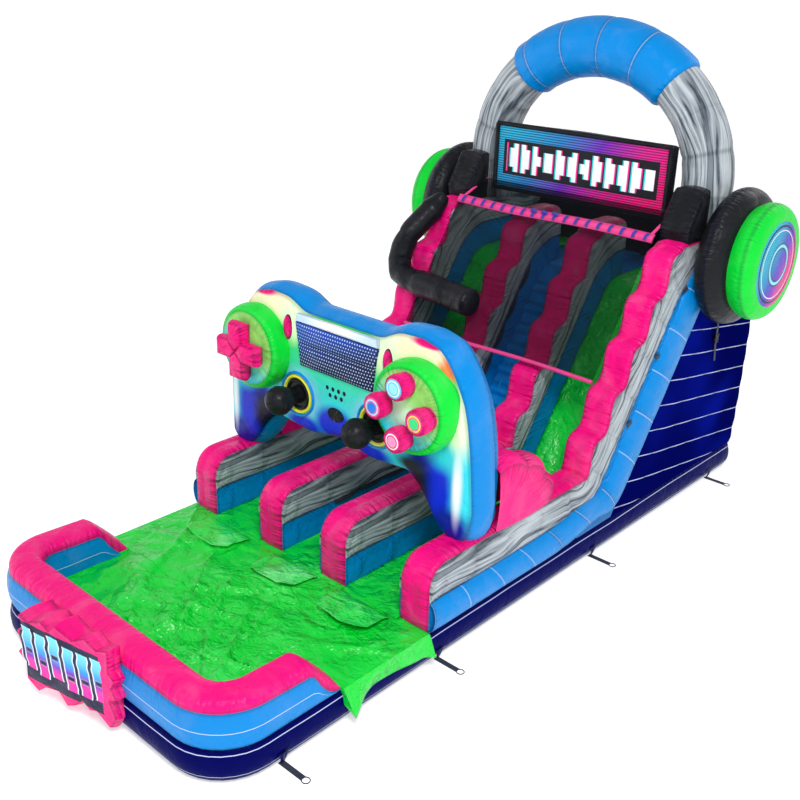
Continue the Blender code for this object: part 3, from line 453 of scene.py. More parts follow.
# ---- materials -------------------------------------------
class Recipe:
    """A material being put together, node by node."""

    def __init__(self, name, roughness=0.3, coat=0.05):
        self.material = bpy.data.materials.new(name)
        self.material.use_nodes = True
        self.tree = self.material.node_tree
        self.shader = self.tree.nodes["Principled BSDF"]
        self.set("Roughness", roughness)
        self.set("Coat Weight", coat)
        self.set("Coat Roughness", 0.12)

    def set(self, socket, value):
        self.feed(self.shader.inputs[socket], value)

    def feed(self, socket, value):
        if isinstance(value, bpy.types.NodeSocket):
            self.tree.links.new(value, socket)
        else:
            socket.default_value = (*value, 1.0) if socket.type == "RGBA" else value

    def add(self, kind, inputs=None, **settings):
        """A node with its settings and inputs filled in."""
        made = self.tree.nodes.new(kind)
        for key, value in settings.items():
            setattr(made, key, value)
        for key, value in (inputs or {}).items():
            self.feed(made.inputs[key], value)
        return made

    def math(self, operation, first, second=0.0, clamp=False):
        made = self.add("ShaderNodeMath", {0: first, 1: second}, operation=operation, use_clamp=clamp)
        return made.outputs[0]

    def plus(self, first, second):
        return self.math("ADD", first, second)

    def minus(self, first, second, clamp=False):
        return self.math("SUBTRACT", first, second, clamp)

    def times(self, first, *others):
        for other in others:
            first = self.math("MULTIPLY", first, other)
        return first

    def size(self, value):
        return self.math("ABSOLUTE", value)

    def far(self, x, y):
        """Distance of a place from a map's origin."""
        return self.math("SQRT", self.plus(self.times(x, x), self.times(y, y)))

    def map(self, name):
        """The two numbers of a map, as separate sockets."""
        uv = self.add("ShaderNodeUVMap", uv_map=name).outputs[0]
        axes = self.add("ShaderNodeSeparateXYZ", {0: uv}).outputs
        return axes[0], axes[1]

    def place(self, x, y, z=0.0):
        return self.add("ShaderNodeCombineXYZ", {0: x, 1: y, 2: z}).outputs[0]

    def object_place(self):
        return self.add("ShaderNodeTexCoord").outputs["Object"]

    def noise(self, vector, scale, detail=2.0, distortion=0.0):
        inputs = {"Vector": vector, "Scale": scale, "Detail": detail, "Distortion": distortion}
        return self.add("ShaderNodeTexNoise", inputs).outputs[0]

    def step(self, value, low, high):
        """0 below low, 1 above high, and smooth between; reversed if low is above high."""
        inputs = {"Value": value, "From Min": low, "From Max": high}
        return self.add("ShaderNodeMapRange", inputs, interpolation_type="SMOOTHSTEP").outputs[0]

    def blend(self, share, low, high):
        inputs = {0: share, 6: low, 7: high}
        return self.add("ShaderNodeMix", inputs, data_type="RGBA").outputs[2]

    def ramp(self, share, stops):
        made = self.add("ShaderNodeValToRGB", {0: share})
        line = made.color_ramp.elements
        while len(line) < len(stops):
            line.new(0.5)
        for stop, (place, value) in zip(line, stops):
            stop.position = place
            stop.color = (*value, 1.0)
        return made.outputs[0]

    def relief(self, height, strength=1.0, distance=1.0):
        """Raises the surface by a height in metres."""
        inputs = {"Strength": strength, "Distance": distance, "Height": height}
        self.set("Normal", self.add("ShaderNodeBump", inputs).outputs[0])

    def rough(self, share, low, high):
        """Roughness between two values; each is given with its place on the scale from 0 to 1."""
        stops = [(place, (value,) * 3) for place, value in (low, high)]
        self.set("Roughness", self.ramp(share, stops))

    def stripe(self, value, middle, half):
        """A thin line where a value is near its middle."""
        away = self.size(self.minus(value, middle))
        return self.step(away, half, half * 0.4)

    def repeat(self, value, spacing):
        """Distance from the nearest line of a repeating set."""
        turn = self.math("FRACT", self.plus(self.math("DIVIDE", value, spacing), 0.5))
        return self.times(self.size(self.minus(turn, 0.5)), spacing)

    def blob(self, point, middle, radii, soft):
        """A soft oval patch: 1 inside, 0 outside."""
        x = self.math("DIVIDE", self.minus(point[0], middle[0]), radii[0])
        y = self.math("DIVIDE", self.minus(point[1], middle[1]), radii[1])
        return self.step(self.far(x, y), 1.0, 1.0 - soft)


def vinyl_surface(recipe, tint, pucker=1.0, reach=0.16, dents=1.0, mottle=0.10, gloss=0.14):
    """Colour, gloss and relief that all coated fabric here shares."""
    spot = recipe.object_place()
    along, away = recipe.map("seams")
    near = recipe.step(away, reach, 0.0)
    creases = recipe.noise(recipe.place(along, recipe.times(away, 0.18)), 15.0, 2.5, 0.4)
    soft = recipe.noise(spot, 2.6, 3.0, 0.6)
    fine = recipe.noise(spot, 13.0, 4.0, 1.2)
    weave = recipe.noise(spot, 420.0, 1.0)
    relief = recipe.times(creases, near, sizes().pucker * pucker * 3.2)
    for part, depth in ((soft, 0.030 * dents), (fine, 0.0045 * dents), (weave, 0.00006)):
        relief = recipe.plus(relief, recipe.times(part, depth))
    recipe.relief(relief)
    recipe.rough(fine, (0.3, 0.26), (0.75, 0.48))
    recipe.set("Specular IOR Level", gloss)
    recipe.set("Coat Weight", gloss * 0.2)
    # Painted shade along the seams.
    shade = recipe.times(recipe.step(away, 0.05, 0.0), 0.35)
    # Painted sheen: pale patches where the soft noise is high.
    painted_sheen = recipe.times(recipe.step(soft, 0.45, 0.8), mottle)
    tint = recipe.blend(painted_sheen, tint, (1.0, 0.75, 0.95))
    tint = recipe.blend(shade, tint, (0.0, 0.0, 0.02))
    recipe.set("Base Color", tint)
    return recipe.material


def plain_vinyl(name, tint, **details):
    return vinyl_surface(Recipe(name), colour(tint), **details)


def printed_recipe(name):
    """A recipe and the two numbers of its print map."""
    recipe = Recipe(name)
    return recipe, *recipe.map("print")


def base_vinyl():
    """Navy side of the base with its pale welded lines."""
    recipe, along, height = printed_recipe("base_vinyl")
    wave = recipe.times(recipe.noise(recipe.place(along, 0.0), 0.5), 0.05)
    level = recipe.plus(height, wave)
    # Painted highlight: the pale colour of the two welded lines.
    lines = recipe.math("MAXIMUM", recipe.stripe(level, 0.38, 0.006), recipe.stripe(level, 0.13, 0.006))
    tint = recipe.blend(lines, colour("navy"), colour("thread"))
    return vinyl_surface(recipe, tint, mottle=0.0, dents=0.8, gloss=0.02, pucker=0.5, reach=0.10)


def tower_vinyl():
    """Navy panels of the tower with evenly spaced welded lines."""
    recipe, along, height = printed_recipe("tower_vinyl")
    away = recipe.repeat(height, sizes().welds)
    # Painted highlight: the pale colour of the welded lines.
    tint = recipe.blend(recipe.step(away, 0.010, 0.003), colour("navy"), colour("thread"))
    glow = recipe.step(recipe.noise(recipe.place(along, height), 0.5, 1.0), 0.42, 0.72)
    deep = recipe.blend(recipe.times(glow, 0.30), tint, colour("deep_blue"))
    return vinyl_surface(recipe, deep, mottle=0.0, dents=0.7, gloss=0.0, pucker=0.35, reach=0.10)


def pool_side_vinyl():
    """Blue side of the pool wall with one curved welded line."""
    recipe, along, height = printed_recipe("pool_side_vinyl")
    wave = recipe.times(recipe.noise(recipe.place(along, 3.0), 0.7), 0.10)
    # Painted highlight: the pale colour of the welded line.
    line = recipe.stripe(recipe.plus(height, wave), 0.31, 0.007)
    tint = recipe.blend(line, colour("blue"), colour("thread"))
    return vinyl_surface(recipe, tint, mottle=0.03)


def tube_vinyl():
    """Blue side tube with pale lines round it at each seam."""
    recipe, along, _ = printed_recipe("tube_vinyl")
    line = recipe.step(recipe.repeat(along, SEAM_EVERY), 0.012, 0.004)
    # Painted highlight: the pale colour of the seam lines.
    tint = recipe.blend(recipe.times(line, 0.5), colour("blue"), colour("thread"))
    return vinyl_surface(recipe, tint, mottle=0.03)


def marble_tint(recipe, along, across):
    """Grey marble print whose dark streaks run along the piece."""
    drift = recipe.noise(recipe.place(recipe.times(along, 0.40), across), 1.4, 2.0)
    bent = recipe.plus(recipe.times(across, 4.6), recipe.times(drift, 2.2))
    streak = recipe.noise(recipe.place(recipe.times(along, 0.22), bent, 4.0), 2.4, 7.0, 0.25)
    light, dark = colour("marble_light"), colour("marble_dark")
    middle = (0.19, 0.22, 0.25)
    pale = (0.50, 0.55, 0.58)
    return recipe.ramp(streak, [
        (0.34, middle), (0.40, dark), (0.43, middle), (0.49, light),
        (0.55, pale), (0.60, light), (0.63, middle), (0.68, light),
    ])


def marble_vinyl():
    recipe, along, across = printed_recipe("marble_vinyl")
    return vinyl_surface(recipe, marble_tint(recipe, along, across), mottle=0.0, pucker=1.5)


def wall_side_vinyl():
    """Lane wall's side: a blue band below and marble above, with a dark seam between."""
    recipe, along, height = printed_recipe("wall_side_vinyl")
    band = sizes().band
    marble = marble_tint(recipe, along, height)
    tint = recipe.blend(recipe.step(height, band - 0.004, band + 0.004), colour("blue"), marble)
    tint = recipe.blend(recipe.times(recipe.stripe(height, band, 0.012), 0.6), tint, colour("navy"))
    return vinyl_surface(recipe, tint, mottle=0.0, pucker=1.5)


def crumpled_vinyl(name, low, high):
    """Crumpled green sheet whose folds come in patches, from its darker tint to its paler crests."""
    recipe = Recipe(name)
    spot = recipe.object_place()
    relief, share = 0.0, 0.30
    for scale, stretch in ((1.3, 0.3), (3.1, 0.5), (7.5, 0.4), (17.0, 0.2)):
        fold = recipe.minus(recipe.noise(spot, scale, 1.5, stretch), 0.5)
        relief = recipe.plus(relief, recipe.times(recipe.size(fold), share))
        share *= 0.48
    patches = recipe.step(recipe.noise(spot, 0.9, 2.0, 0.5), 0.38, 0.62)
    height = recipe.times(relief, recipe.plus(0.35, recipe.times(patches, 0.65)))
    recipe.relief(height)
    # Painted highlight: the paler tint on the crests of the folds.
    crest = recipe.step(relief, 0.04, 0.10)
    # Painted shade in the valleys between the folds.
    valley_shade = recipe.step(relief, 0.020, 0.004)
    tint = recipe.blend(crest, low, high)
    tint = recipe.blend(recipe.times(valley_shade, 0.38), tint, (0.0, 0.16, 0.012))
    recipe.set("Base Color", tint)
    recipe.set("Specular IOR Level", 0.45)
    recipe.rough(crest, (0.0, 0.24), (1.0, 0.38))
    return recipe.material


def net_mesh():
    """Black knotted net: threads stay, and the cells between them are open."""
    recipe = Recipe("net_mesh", roughness=0.75, coat=0.0)
    along, across = recipe.map("print")
    cell = sizes().net_cell
    thread = cell * 0.18
    nearest = recipe.math("MINIMUM", recipe.repeat(along, cell), recipe.repeat(across, cell))
    recipe.set("Alpha", recipe.step(nearest, thread * 1.15, thread * 0.85))
    strand = recipe.noise(recipe.place(along, across), 900.0, 1.0)
    recipe.set("Specular IOR Level", 0.05)
    recipe.set("Base Color", recipe.blend(strand, (0.001, 0.001, 0.002), (0.008, 0.009, 0.011)))
    return recipe.material


def webbing(name, tint):
    """Woven strap with its ribs."""
    recipe = Recipe(name, roughness=0.7, coat=0.0)
    spot = recipe.object_place()
    wave = recipe.add("ShaderNodeTexWave", {"Vector": spot, "Scale": 60.0, "Distortion": 1.0})
    recipe.relief(wave.outputs[1], 0.5, 0.002)
    recipe.set("Base Color", recipe.blend(recipe.noise(spot, 30.0), colour(tint), (0.05, 0.06, 0.10)))
    return recipe.material


def steel():
    recipe = Recipe("steel", roughness=0.28, coat=0.0)
    recipe.set("Metallic", 1.0)
    grain = recipe.noise(recipe.object_place(), 180.0, 3.0)
    recipe.set("Base Color", recipe.blend(grain, (0.42, 0.43, 0.45), (0.62, 0.63, 0.65)))
    return recipe.material


def zip_tape():
    """Woven zip tape with a row of moulded teeth down its middle."""
    recipe = Recipe("zip_tape", roughness=0.6, coat=0.0)
    axes = recipe.add("ShaderNodeSeparateXYZ", {0: recipe.object_place()})
    teeth = recipe.repeat(axes.outputs[2], 0.006)
    tint = recipe.blend(recipe.step(teeth, 0.0008, 0.0014), (0.10, 0.10, 0.11), (0.015, 0.015, 0.02))
    recipe.set("Base Color", tint)
    return recipe.material


def pad_face():
    """Game-pad print: pale shoulders, green middle, and deep blue grips with a white sheen."""
    recipe, across, height = printed_recipe("pad_face")
    side = recipe.size(across)
    stick = lane_box("thumb_stick_right")[2]
    spot = (side, height)
    rise = recipe.step(height, 2.2, 3.3)
    tint = recipe.blend(rise, colour("cyan"), (0.05, 0.72, 0.12))
    layers = (
        ((1.25, 3.50), (0.90, 0.34), 0.55, colour("cream")),
        ((0.80, 3.35), (0.30, 0.40), 0.60, (0.75, 0.95, 0.60)),
        ((1.72, 3.36), (0.17, 0.28), 0.80, colour("orange")),
        ((1.52, 3.60), (0.42, 0.07), 0.40, colour("pink")),
        ((1.95, 2.80), (0.22, 0.70), 0.70, (0.75, 0.92, 0.60)),
        ((0.68, 2.38), (0.48, 0.46), 0.60, (0.30, 0.62, 0.90)),
        ((0.0, 2.12), (0.46, 0.34), 0.45, colour("deep_blue")),
        ((0.60, 1.98), (0.45, 0.20), 0.60, colour("deep_blue")),
        ((1.55, 1.85), (0.46, 0.95), 0.45, colour("deep_blue")),
        ((1.78, 2.34), (0.40, 0.28), 0.90, colour("cyan")),
        ((1.40, 1.85), (0.30, 0.62), 0.80, (0.002, 0.003, 0.02)),
        ((1.90, 1.46), (0.36, 0.34), 0.60, (0.003, 0.010, 0.30)),
        ((1.98, 2.00), (0.10, 0.66), 0.90, (0.92, 0.95, 1.0)),
        ((1.25, 2.06), (0.30, 0.16), 0.80, (0.02, 0.02, 0.03)),
        ((stick.x, stick.z), (0.21, 0.21), 0.10, (0.006, 0.006, 0.008)),
    )
    for middle, radii, soft, paint in layers:
        tint = recipe.blend(recipe.blob(spot, middle, radii, soft), tint, paint)
    return vinyl_surface(recipe, tint, mottle=0.03, pucker=0.9)


def disc_face():
    """Face of a green disc: pale green with a cyan tint low down."""
    recipe, across, height = printed_recipe("disc_face")
    fade = recipe.step(recipe.plus(height, recipe.times(across, 0.6)), -0.45, 0.25)
    tint = recipe.blend(fade, colour("cyan"), colour("green_light"))
    glow = recipe.blob((across, height), (-0.05, -0.05), (0.42, 0.30), 0.9)
    tint = recipe.blend(recipe.times(glow, 0.6), tint, (0.75, 0.95, 0.70))
    return vinyl_surface(recipe, tint, mottle=0.0, pucker=1.5)


def ringed_face(name, ground, patch, ring):
    """A button's face: a round patch inside a ring."""
    recipe, across, height = printed_recipe(name)
    far = recipe.far(across, height)
    tint = recipe.blend(recipe.step(far, 0.098, 0.094), ground, ring)
    tint = recipe.blend(recipe.step(far, 0.082, 0.078), tint, ground)
    tint = recipe.blend(recipe.step(far, 0.068, 0.064), tint, patch)
    return vinyl_surface(recipe, tint, mottle=0.05, pucker=0.6)


def touch_panel():
    """Navy panel with rows of pale dots."""
    recipe = Recipe("touch_panel", roughness=0.25)
    across, height = recipe.map("print")
    pitch = 0.042
    row = recipe.math("FLOOR", recipe.math("DIVIDE", height, pitch))
    shift = recipe.times(recipe.math("MODULO", row, 2.0), pitch / 2)
    x = recipe.repeat(recipe.plus(across, shift), pitch)
    y = recipe.repeat(recipe.plus(height, pitch / 2), pitch)
    far = recipe.far(x, y)
    sheen = recipe.step(recipe.plus(height, recipe.times(across, -0.25)), 2.9, 3.5)
    ground = recipe.blend(sheen, (0.006, 0.010, 0.06), (0.01, 0.06, 0.42))
    tint = recipe.blend(recipe.step(far, 0.0105, 0.0075), ground, (0.45, 0.60, 0.85))
    return vinyl_surface(recipe, tint, mottle=0.02, pucker=0.5, dents=0.4)


def white_bar():
    recipe, across, _ = printed_recipe("white_bar")
    fade = recipe.step(recipe.size(across), 0.0, 0.6)
    tint = recipe.blend(fade, (0.95, 0.97, 1.0), (0.60, 0.75, 0.95))
    return vinyl_surface(recipe, tint, mottle=0.0, pucker=0.4)


def gradient(recipe, share):
    """Blue through violet to pink."""
    return recipe.ramp(share, [
        (0.0, (0.02, 0.45, 0.70)), (0.30, (0.03, 0.25, 0.62)),
        (0.52, colour("violet")), (0.75, (0.75, 0.02, 0.28)), (1.0, (0.90, 0.01, 0.17)),
    ])


def level_bars(recipe, across, height, shift, cell, middle):
    """Square-stepped bars of chance heights about a middle line, like a sound meter."""
    moved = recipe.plus(across, shift)
    column = recipe.math("FLOOR", recipe.math("DIVIDE", moved, cell))
    pick = recipe.add("ShaderNodeTexWhiteNoise", {"Vector": recipe.place(column, 3.0, 7.0)}).outputs[0]
    row = recipe.math("FLOOR", recipe.math("DIVIDE", recipe.minus(height, middle), cell))
    far = recipe.size(recipe.plus(row, 0.5))
    tall = recipe.plus(1.2, recipe.times(pick, 3.4))
    gap = recipe.math("GREATER_THAN", recipe.math("MODULO", recipe.plus(column, 300.0), 3.0), 0.5)
    return recipe.times(recipe.math("LESS_THAN", far, tall), gap)


def banner_face():
    """Lined gradient round a dark block that holds stepped level bars."""
    recipe, across, height = printed_recipe("banner_face")
    low, high = (corner.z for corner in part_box("banner_panel"))
    share = recipe.plus(recipe.times(across, 1.0 / 3.0), 0.5)
    lean = recipe.step(height, low, high)
    share = recipe.plus(share, recipe.times(recipe.minus(0.5, lean), 0.25))
    lines = recipe.step(recipe.repeat(height, 0.036), 0.010, 0.006)
    tint = recipe.blend(recipe.times(lines, 0.75), gradient(recipe, share), (0.01, 0.01, 0.05))

    def block(half, margin):
        """1 inside a block of this half width and this far in from the panel's upper and lower edges."""
        edge = 0.005
        return recipe.times(
            recipe.step(recipe.size(across), half, half - edge),
            recipe.step(height, low + margin, low + margin + edge),
            recipe.step(height, high - margin, high - margin - edge),
        )

    tint = recipe.blend(block(1.36, 0.22), tint, (0.012, 0.012, 0.018))
    core = block(1.30, 0.27)
    for shift, paint in (
        (0.024, (0.02, 0.65, 0.72)), (-0.024, (0.95, 0.02, 0.30)), (0.0, (0.92, 0.94, 0.96)),
    ):
        blocks = recipe.times(core, level_bars(recipe, across, height, shift, 0.072, (low + high) / 2))
        tint = recipe.blend(blocks, tint, paint)
    return vinyl_surface(recipe, tint, mottle=0.0, pucker=0.6, dents=0.6)


def sign_face():
    """Navy panel with tall gradient bars outlined in white: an abstract pattern."""
    recipe, across, height = printed_recipe("sign_face")
    bend = recipe.times(recipe.noise(recipe.place(0.0, height), 5.0, 1.0), 0.10)
    leaning = recipe.plus(across, recipe.plus(bend, recipe.times(height, 0.08)))
    away = recipe.repeat(leaning, 0.205)
    column = recipe.math("FLOOR", recipe.plus(recipe.math("DIVIDE", leaning, 0.205), 0.5))
    pick = recipe.add("ShaderNodeTexWhiteNoise", {"Vector": recipe.place(column, 3.0, 1.0)}).outputs[0]
    top = recipe.plus(0.88, recipe.times(pick, 0.06))
    foot = recipe.plus(0.34, recipe.times(pick, 0.10))
    inside = recipe.times(recipe.math("LESS_THAN", height, top), recipe.math("GREATER_THAN", height, foot))
    bar = recipe.times(recipe.step(away, 0.082, 0.078), inside)
    notch_at = recipe.plus(0.50, recipe.times(pick, 0.22))
    notch = recipe.times(recipe.stripe(height, notch_at, 0.045), recipe.step(away, 0.050, 0.046))
    bar = recipe.minus(bar, notch, True)
    core = recipe.times(recipe.step(away, 0.066, 0.062), inside)
    fill = recipe.ramp(recipe.step(height, 0.92, 0.32), [
        (0.0, (0.20, 0.75, 0.90)), (0.35, (0.03, 0.35, 0.85)),
        (0.60, colour("violet")), (0.85, (0.95, 0.03, 0.40)),
    ])
    low_edge = recipe.step(recipe.plus(height, recipe.times(bend, 0.6)), 0.27, 0.275)
    sides = recipe.step(recipe.size(recipe.plus(across, bend)), 0.60, 0.595)
    edge = recipe.times(recipe.times(low_edge, sides), recipe.step(height, 0.97, 0.965))
    tint = recipe.blend(edge, colour("pink"), (0.006, 0.010, 0.045))
    bar = recipe.times(bar, edge)
    tint = recipe.blend(bar, tint, (0.80, 0.88, 1.0))
    tint = recipe.blend(recipe.times(core, bar), tint, fill)
    return vinyl_surface(recipe, tint, mottle=0.04, pucker=0.9)


def cup_print():
    """Plain round print on the ear caps: a gradient disc with two pale rings."""
    recipe, across, height = printed_recipe("cup_print")
    far = recipe.far(across, height)
    share = recipe.step(recipe.minus(across, recipe.times(height, 0.6)), -0.50, 0.55)
    tint = recipe.ramp(share, [
        (0.0, (0.02, 0.45, 0.62)), (0.4, (0.06, 0.10, 0.55)),
        (0.65, colour("violet")), (1.0, (0.90, 0.04, 0.25)),
    ])
    lines = recipe.step(recipe.repeat(height, 0.034), 0.008, 0.005)
    tint = recipe.blend(recipe.times(lines, 0.35), tint, (0.02, 0.02, 0.12))
    for radius, half, paint in (
        (0.53, 0.020, (0.01, 0.01, 0.06)), (0.47, 0.010, (0.75, 0.85, 0.95)),
        (0.26, 0.055, (0.01, 0.01, 0.06)), (0.26, 0.030, (0.25, 0.75, 0.85)),
    ):
        tint = recipe.blend(recipe.stripe(far, radius, half), tint, paint)
    return vinyl_surface(recipe, tint, mottle=0.03, pucker=0.8)


FINISHES = {
    "base": base_vinyl, "tower": tower_vinyl, "pool_side": pool_side_vinyl, "tube": tube_vinyl,
    "marble": marble_vinyl, "wall_side": wall_side_vinyl, "net": net_mesh, "steel": steel, "zip": zip_tape,
    "pad_face": pad_face, "disc_face": disc_face, "touch_panel": touch_panel, "white_bar": white_bar,
    "banner_face": banner_face, "sign_face": sign_face, "cup_print": cup_print,
    "pink": lambda: plain_vinyl("pink_vinyl", "pink", mottle=0.07, pucker=1.9, reach=0.26),
    "pink_band": lambda: plain_vinyl("pink_band", "pink_light", mottle=0.05, pucker=0.6),
    "blue": lambda: plain_vinyl("blue_vinyl", "blue", mottle=0.03),
    "green": lambda: plain_vinyl("green_vinyl", "green", mottle=0.03, pucker=1.3),
    "black": lambda: plain_vinyl("black_vinyl", "black", mottle=0.008, pucker=1.6, dents=1.3),
    "navy": lambda: plain_vinyl("navy_vinyl", "navy", mottle=0.0, gloss=0.1),
    "yellow": lambda: plain_vinyl("yellow_vinyl", "yellow", pucker=0.5),
    # The second colour of liner and flap is the painted highlight on their crests.
    "liner": lambda: crumpled_vinyl("liner_vinyl", colour("green"), (0.03, 0.77, 0.085)),
    "flap": lambda: crumpled_vinyl("flap_vinyl", (0.02, 0.76, 0.08), (0.15, 0.90, 0.23)),
    "dark_webbing": lambda: webbing("dark_webbing", "black"),
    "blue_webbing": lambda: webbing("blue_webbing", "deep_blue"),
    "face_top": lambda: ringed_face(
        "face_top", (0.12, 0.55, 0.85), (0.30, 0.75, 0.95), (0.75, 0.9, 1.0)),
    "face_inner": lambda: ringed_face(
        "face_inner", (0.85, 0.10, 0.30), (0.02, 0.20, 0.75), (0.35, 0.75, 0.95)),
    "face_outer": lambda: ringed_face(
        "face_outer", (0.85, 0.05, 0.25), (0.03, 0.70, 0.20), colour("yellow")),
    "face_bottom": lambda: ringed_face(
        "face_bottom", (0.80, 0.01, 0.20), (0.95, 0.30, 0.55), (1.0, 0.85, 0.92)),
}
MADE = {}


def material(finish):
    """A finish by its name, made once."""
    if finish not in MADE:
        MADE[finish] = FINISHES[finish]()
    return MADE[finish]


# ---- the lanes' side view, as (y, z) ---------------------
def slope_point(distance, height=0.0):
    """A point this far up the slope's line and this far square above it."""
    return Vector((SLOPE_FOOT, LANE_FLOOR)) + ALONG * distance + SQUARE * height


def lane_line():
    """Surface of the lanes: level, round the foot, up the slope, over the crest and along the platform."""
    foot = arc((BED_TOE_Y, LANE_FLOOR + FOOT_RADIUS), FOOT_RADIUS, -90, -90 + math.degrees(SLOPE), 12)
    top = slope_point((PLATFORM_Z - LANE_FLOOR) / math.sin(SLOPE))
    back = CREST_RADIUS * math.tan(SLOPE / 2)
    centre = (top.x + back, PLATFORM_Z - CREST_RADIUS)
    crest = arc(centre, CREST_RADIUS, 90 + math.degrees(SLOPE), 90, 8)
    return [Vector((0.0, LANE_FLOOR))] + foot + crest + [Vector((WALL_END, PLATFORM_Z))]


def raised(points, distance):
    """A side-view path moved square to itself, upwards."""
    moved = []
    for i, here in enumerate(points):
        moved.append(here + square_to(heading(points, i)) * distance)
    return moved


def pillow_lift(share):
    """Height of a pillow along its length: a slow rise and a quick fall, as a soft stair has."""
    crest = 0.64
    if share < crest:
        return 0.5 - 0.5 * math.cos(math.pi * share / crest)
    return 0.5 + 0.5 * math.cos(math.pi * (share - crest) / (1.0 - crest))


def wall_stations(end, sunk=0.0):
    """Pairs of (foot, top) along a lane wall, in side view, front to end; sunk lowers its pillows."""
    lane = lane_line()
    run = lengths(lane)
    start, finish = [
        (height - LANE_FLOOR - SLOPE_WALL * math.cos(SLOPE)) / math.sin(SLOPE) for height in (WALL_TOP, TOP_Z)
    ]
    slope_run = BED_TOE_Y + FOOT_RADIUS * (SLOPE - math.tan(SLOPE / 2))
    crest_at = (PLATFORM_Z - LANE_FLOOR) / math.sin(SLOPE) - CREST_RADIUS * math.tan(SLOPE / 2)
    tops, marks = [], []

    def put(top, mark):
        tops.append(top)
        marks.append(mark)

    nose = WALL_TOP - WALL_NOSE
    for k, height in enumerate(spread(BASE_Z, nose, 8)):
        put(Vector((0.0, height)), 0.004 * k)
    for k, point in enumerate(arc((WALL_NOSE, nose), WALL_NOSE, 180, 90, 9)[1:]):
        put(point, 0.03 + WALL_NOSE * (k + 1) / 9)
    corner = slope_point(start, SLOPE_WALL).x
    bend = 2.3
    for y in spread(WALL_NOSE, corner, 44)[1:]:
        share = max(0.0, (y - bend) / (corner - bend))
        put(Vector((y, WALL_TOP)), mix(y, slope_run + start, share ** 1.5) if share else y)
    pitch = (finish - start) / sizes().pillows
    steps = 14
    for k in range(sizes().pillows):
        for j in range(1, steps + 1):
            share = j / steps
            at = start + pitch * (k + share)
            top = slope_point(at, SLOPE_WALL - sunk + sizes().pillow_rise * pillow_lift(share % 1.0))
            mark = slope_run + at if at < crest_at else mix(
                slope_run + crest_at, run[-1] - (WALL_END - slope_point(finish, SLOPE_WALL).x - 0.5),
                (at - crest_at) / (finish - crest_at))
            put(Vector((top.x, min(top.y, TOP_Z + 0.03))), mark)
    last_top, last_mark = tops[-1].x, marks[-1]
    for y in spread(last_top, end, 14)[1:]:
        mark = mix(last_mark, run[-1] - (WALL_END - end), (y - last_top) / (end - last_top))
        put(Vector((y, TOP_Z)), mark)
    feet = [point_at(lane, run, mark) for mark in marks]
    for k, mark in enumerate(marks):
        if mark < BED_TOE_Y:
            feet[k].y = BASE_Z
    return list(zip(feet, tops))


def cross_seam(along):
    """Distance from the nearest seam across a lane wall's side."""
    return off_line(along + SEAM_EVERY / 2, SEAM_EVERY)


def wall_side(cloth, pairs, x, way):
    """One side of a lane wall: two bands that puff out between their seams."""
    band, puff = sizes().band, sizes().puff
    feet = [foot for foot, _ in pairs]
    run = lengths([top for _, top in pairs])
    rows, heights = [], []
    for i, (foot, top) in enumerate(pairs):
        rise = top - foot
        lane_way = heading(feet, i)
        full = max(rise.dot(square_to(lane_way if lane_way.length else Vector((1.0, 0.0)))), 0.01)
        row, row_heights = [], []
        for share in parts(15):
            height = full * share
            if height < band:
                out = math.sin(math.pi * height / min(band, full))
            else:
                out = math.sin(math.pi * (height - band) / max(full - band, 0.05))
            edge = min(1.0, run[i] / 0.25) * (1.0 - 0.55 * math.exp(-cross_seam(run[i]) / 0.05))
            point = foot + rise * share
            row.append(Vector((x + way * puff * max(out, 0.0) ** 0.7 * edge, point.x, point.y)))
            row_heights.append((height, full))
        rows.append(row)
        heights.append(row_heights)

    def seam(i, j):
        height, full = heights[i][j]
        return run[i] + height, min(height, abs(height - band), full - height, cross_seam(run[i]) + 0.02)

    cloth.grid(rows, 1, False, seam, lambda i, j: (run[i], heights[i][j][0]))


def wall_crown(cloth, pairs, x_low, x_high):
    """The pink strip over a wall: up its front, round its nose and along its top."""
    tops = [top for _, top in pairs]
    run = lengths(tops)
    middle, half = (x_low + x_high) / 2, (x_high - x_low) / 2
    rows = []
    for i, top in enumerate(tops):
        normal = square_to(heading(tops, i))
        lift = 0.035 if top.y < WALL_TOP - WALL_NOSE else 0.05
        row = []
        for q in spread(-1.0, 1.0, 11):
            point = top + normal * lift * (1.0 - q ** 4) * min(1.0, run[i] / 0.08 + 0.2)
            row.append(Vector((middle + half * q, point.x, point.y)))
        rows.append(row)

    def seam(i, j):
        return run[i], half * (1.0 - abs(j / 5.0 - 1.0))

    cloth.grid(rows, 0, False, seam, lambda i, j: (run[i], half * 2 * j / 10))


def lane_wall(name, x_low, x_high, end, sunk=0.0):
    pairs = wall_stations(end, sunk)
    cloth = Cloth()
    wall_crown(cloth, pairs, x_low, x_high)
    wall_side(cloth, pairs, x_low, -1.0)
    wall_side(cloth, pairs, x_high, 1.0)
    foot, top = pairs[-1]
    rows = []
    for share in parts(8):
        z = mix(foot.y, top.y, share)
        out = 0.05 * hump(share)
        rows.append([Vector((x, end + out, z)) for x in spread(x_low, x_high, 6)])
    cloth.grid(rows, 1, False, None, lambda i, j: (j * 0.08, 0.45 + i * 0.1))
    cloth.finish(name, ("pink", "wall_side"), "marble_vinyl", replaces=(name,))


# ---- base and tower --------------------------------------
def base_outline():
    """Plan outline of the base, dense, with round corners."""
    rear = 0.12
    points = arc((-HALF + CORNER, POOL_FRONT + CORNER), CORNER, 180, 270, 14)
    points += arc((HALF - CORNER, POOL_FRONT + CORNER), CORNER, -90, 0, 14)
    points += arc((HALF - rear, BACK - rear), rear, 0, 90, 6)
    points += arc((-HALF + rear, BACK - rear), rear, 90, 180, 6)
    return resample(points + points[:1], 0.12)[:-1]


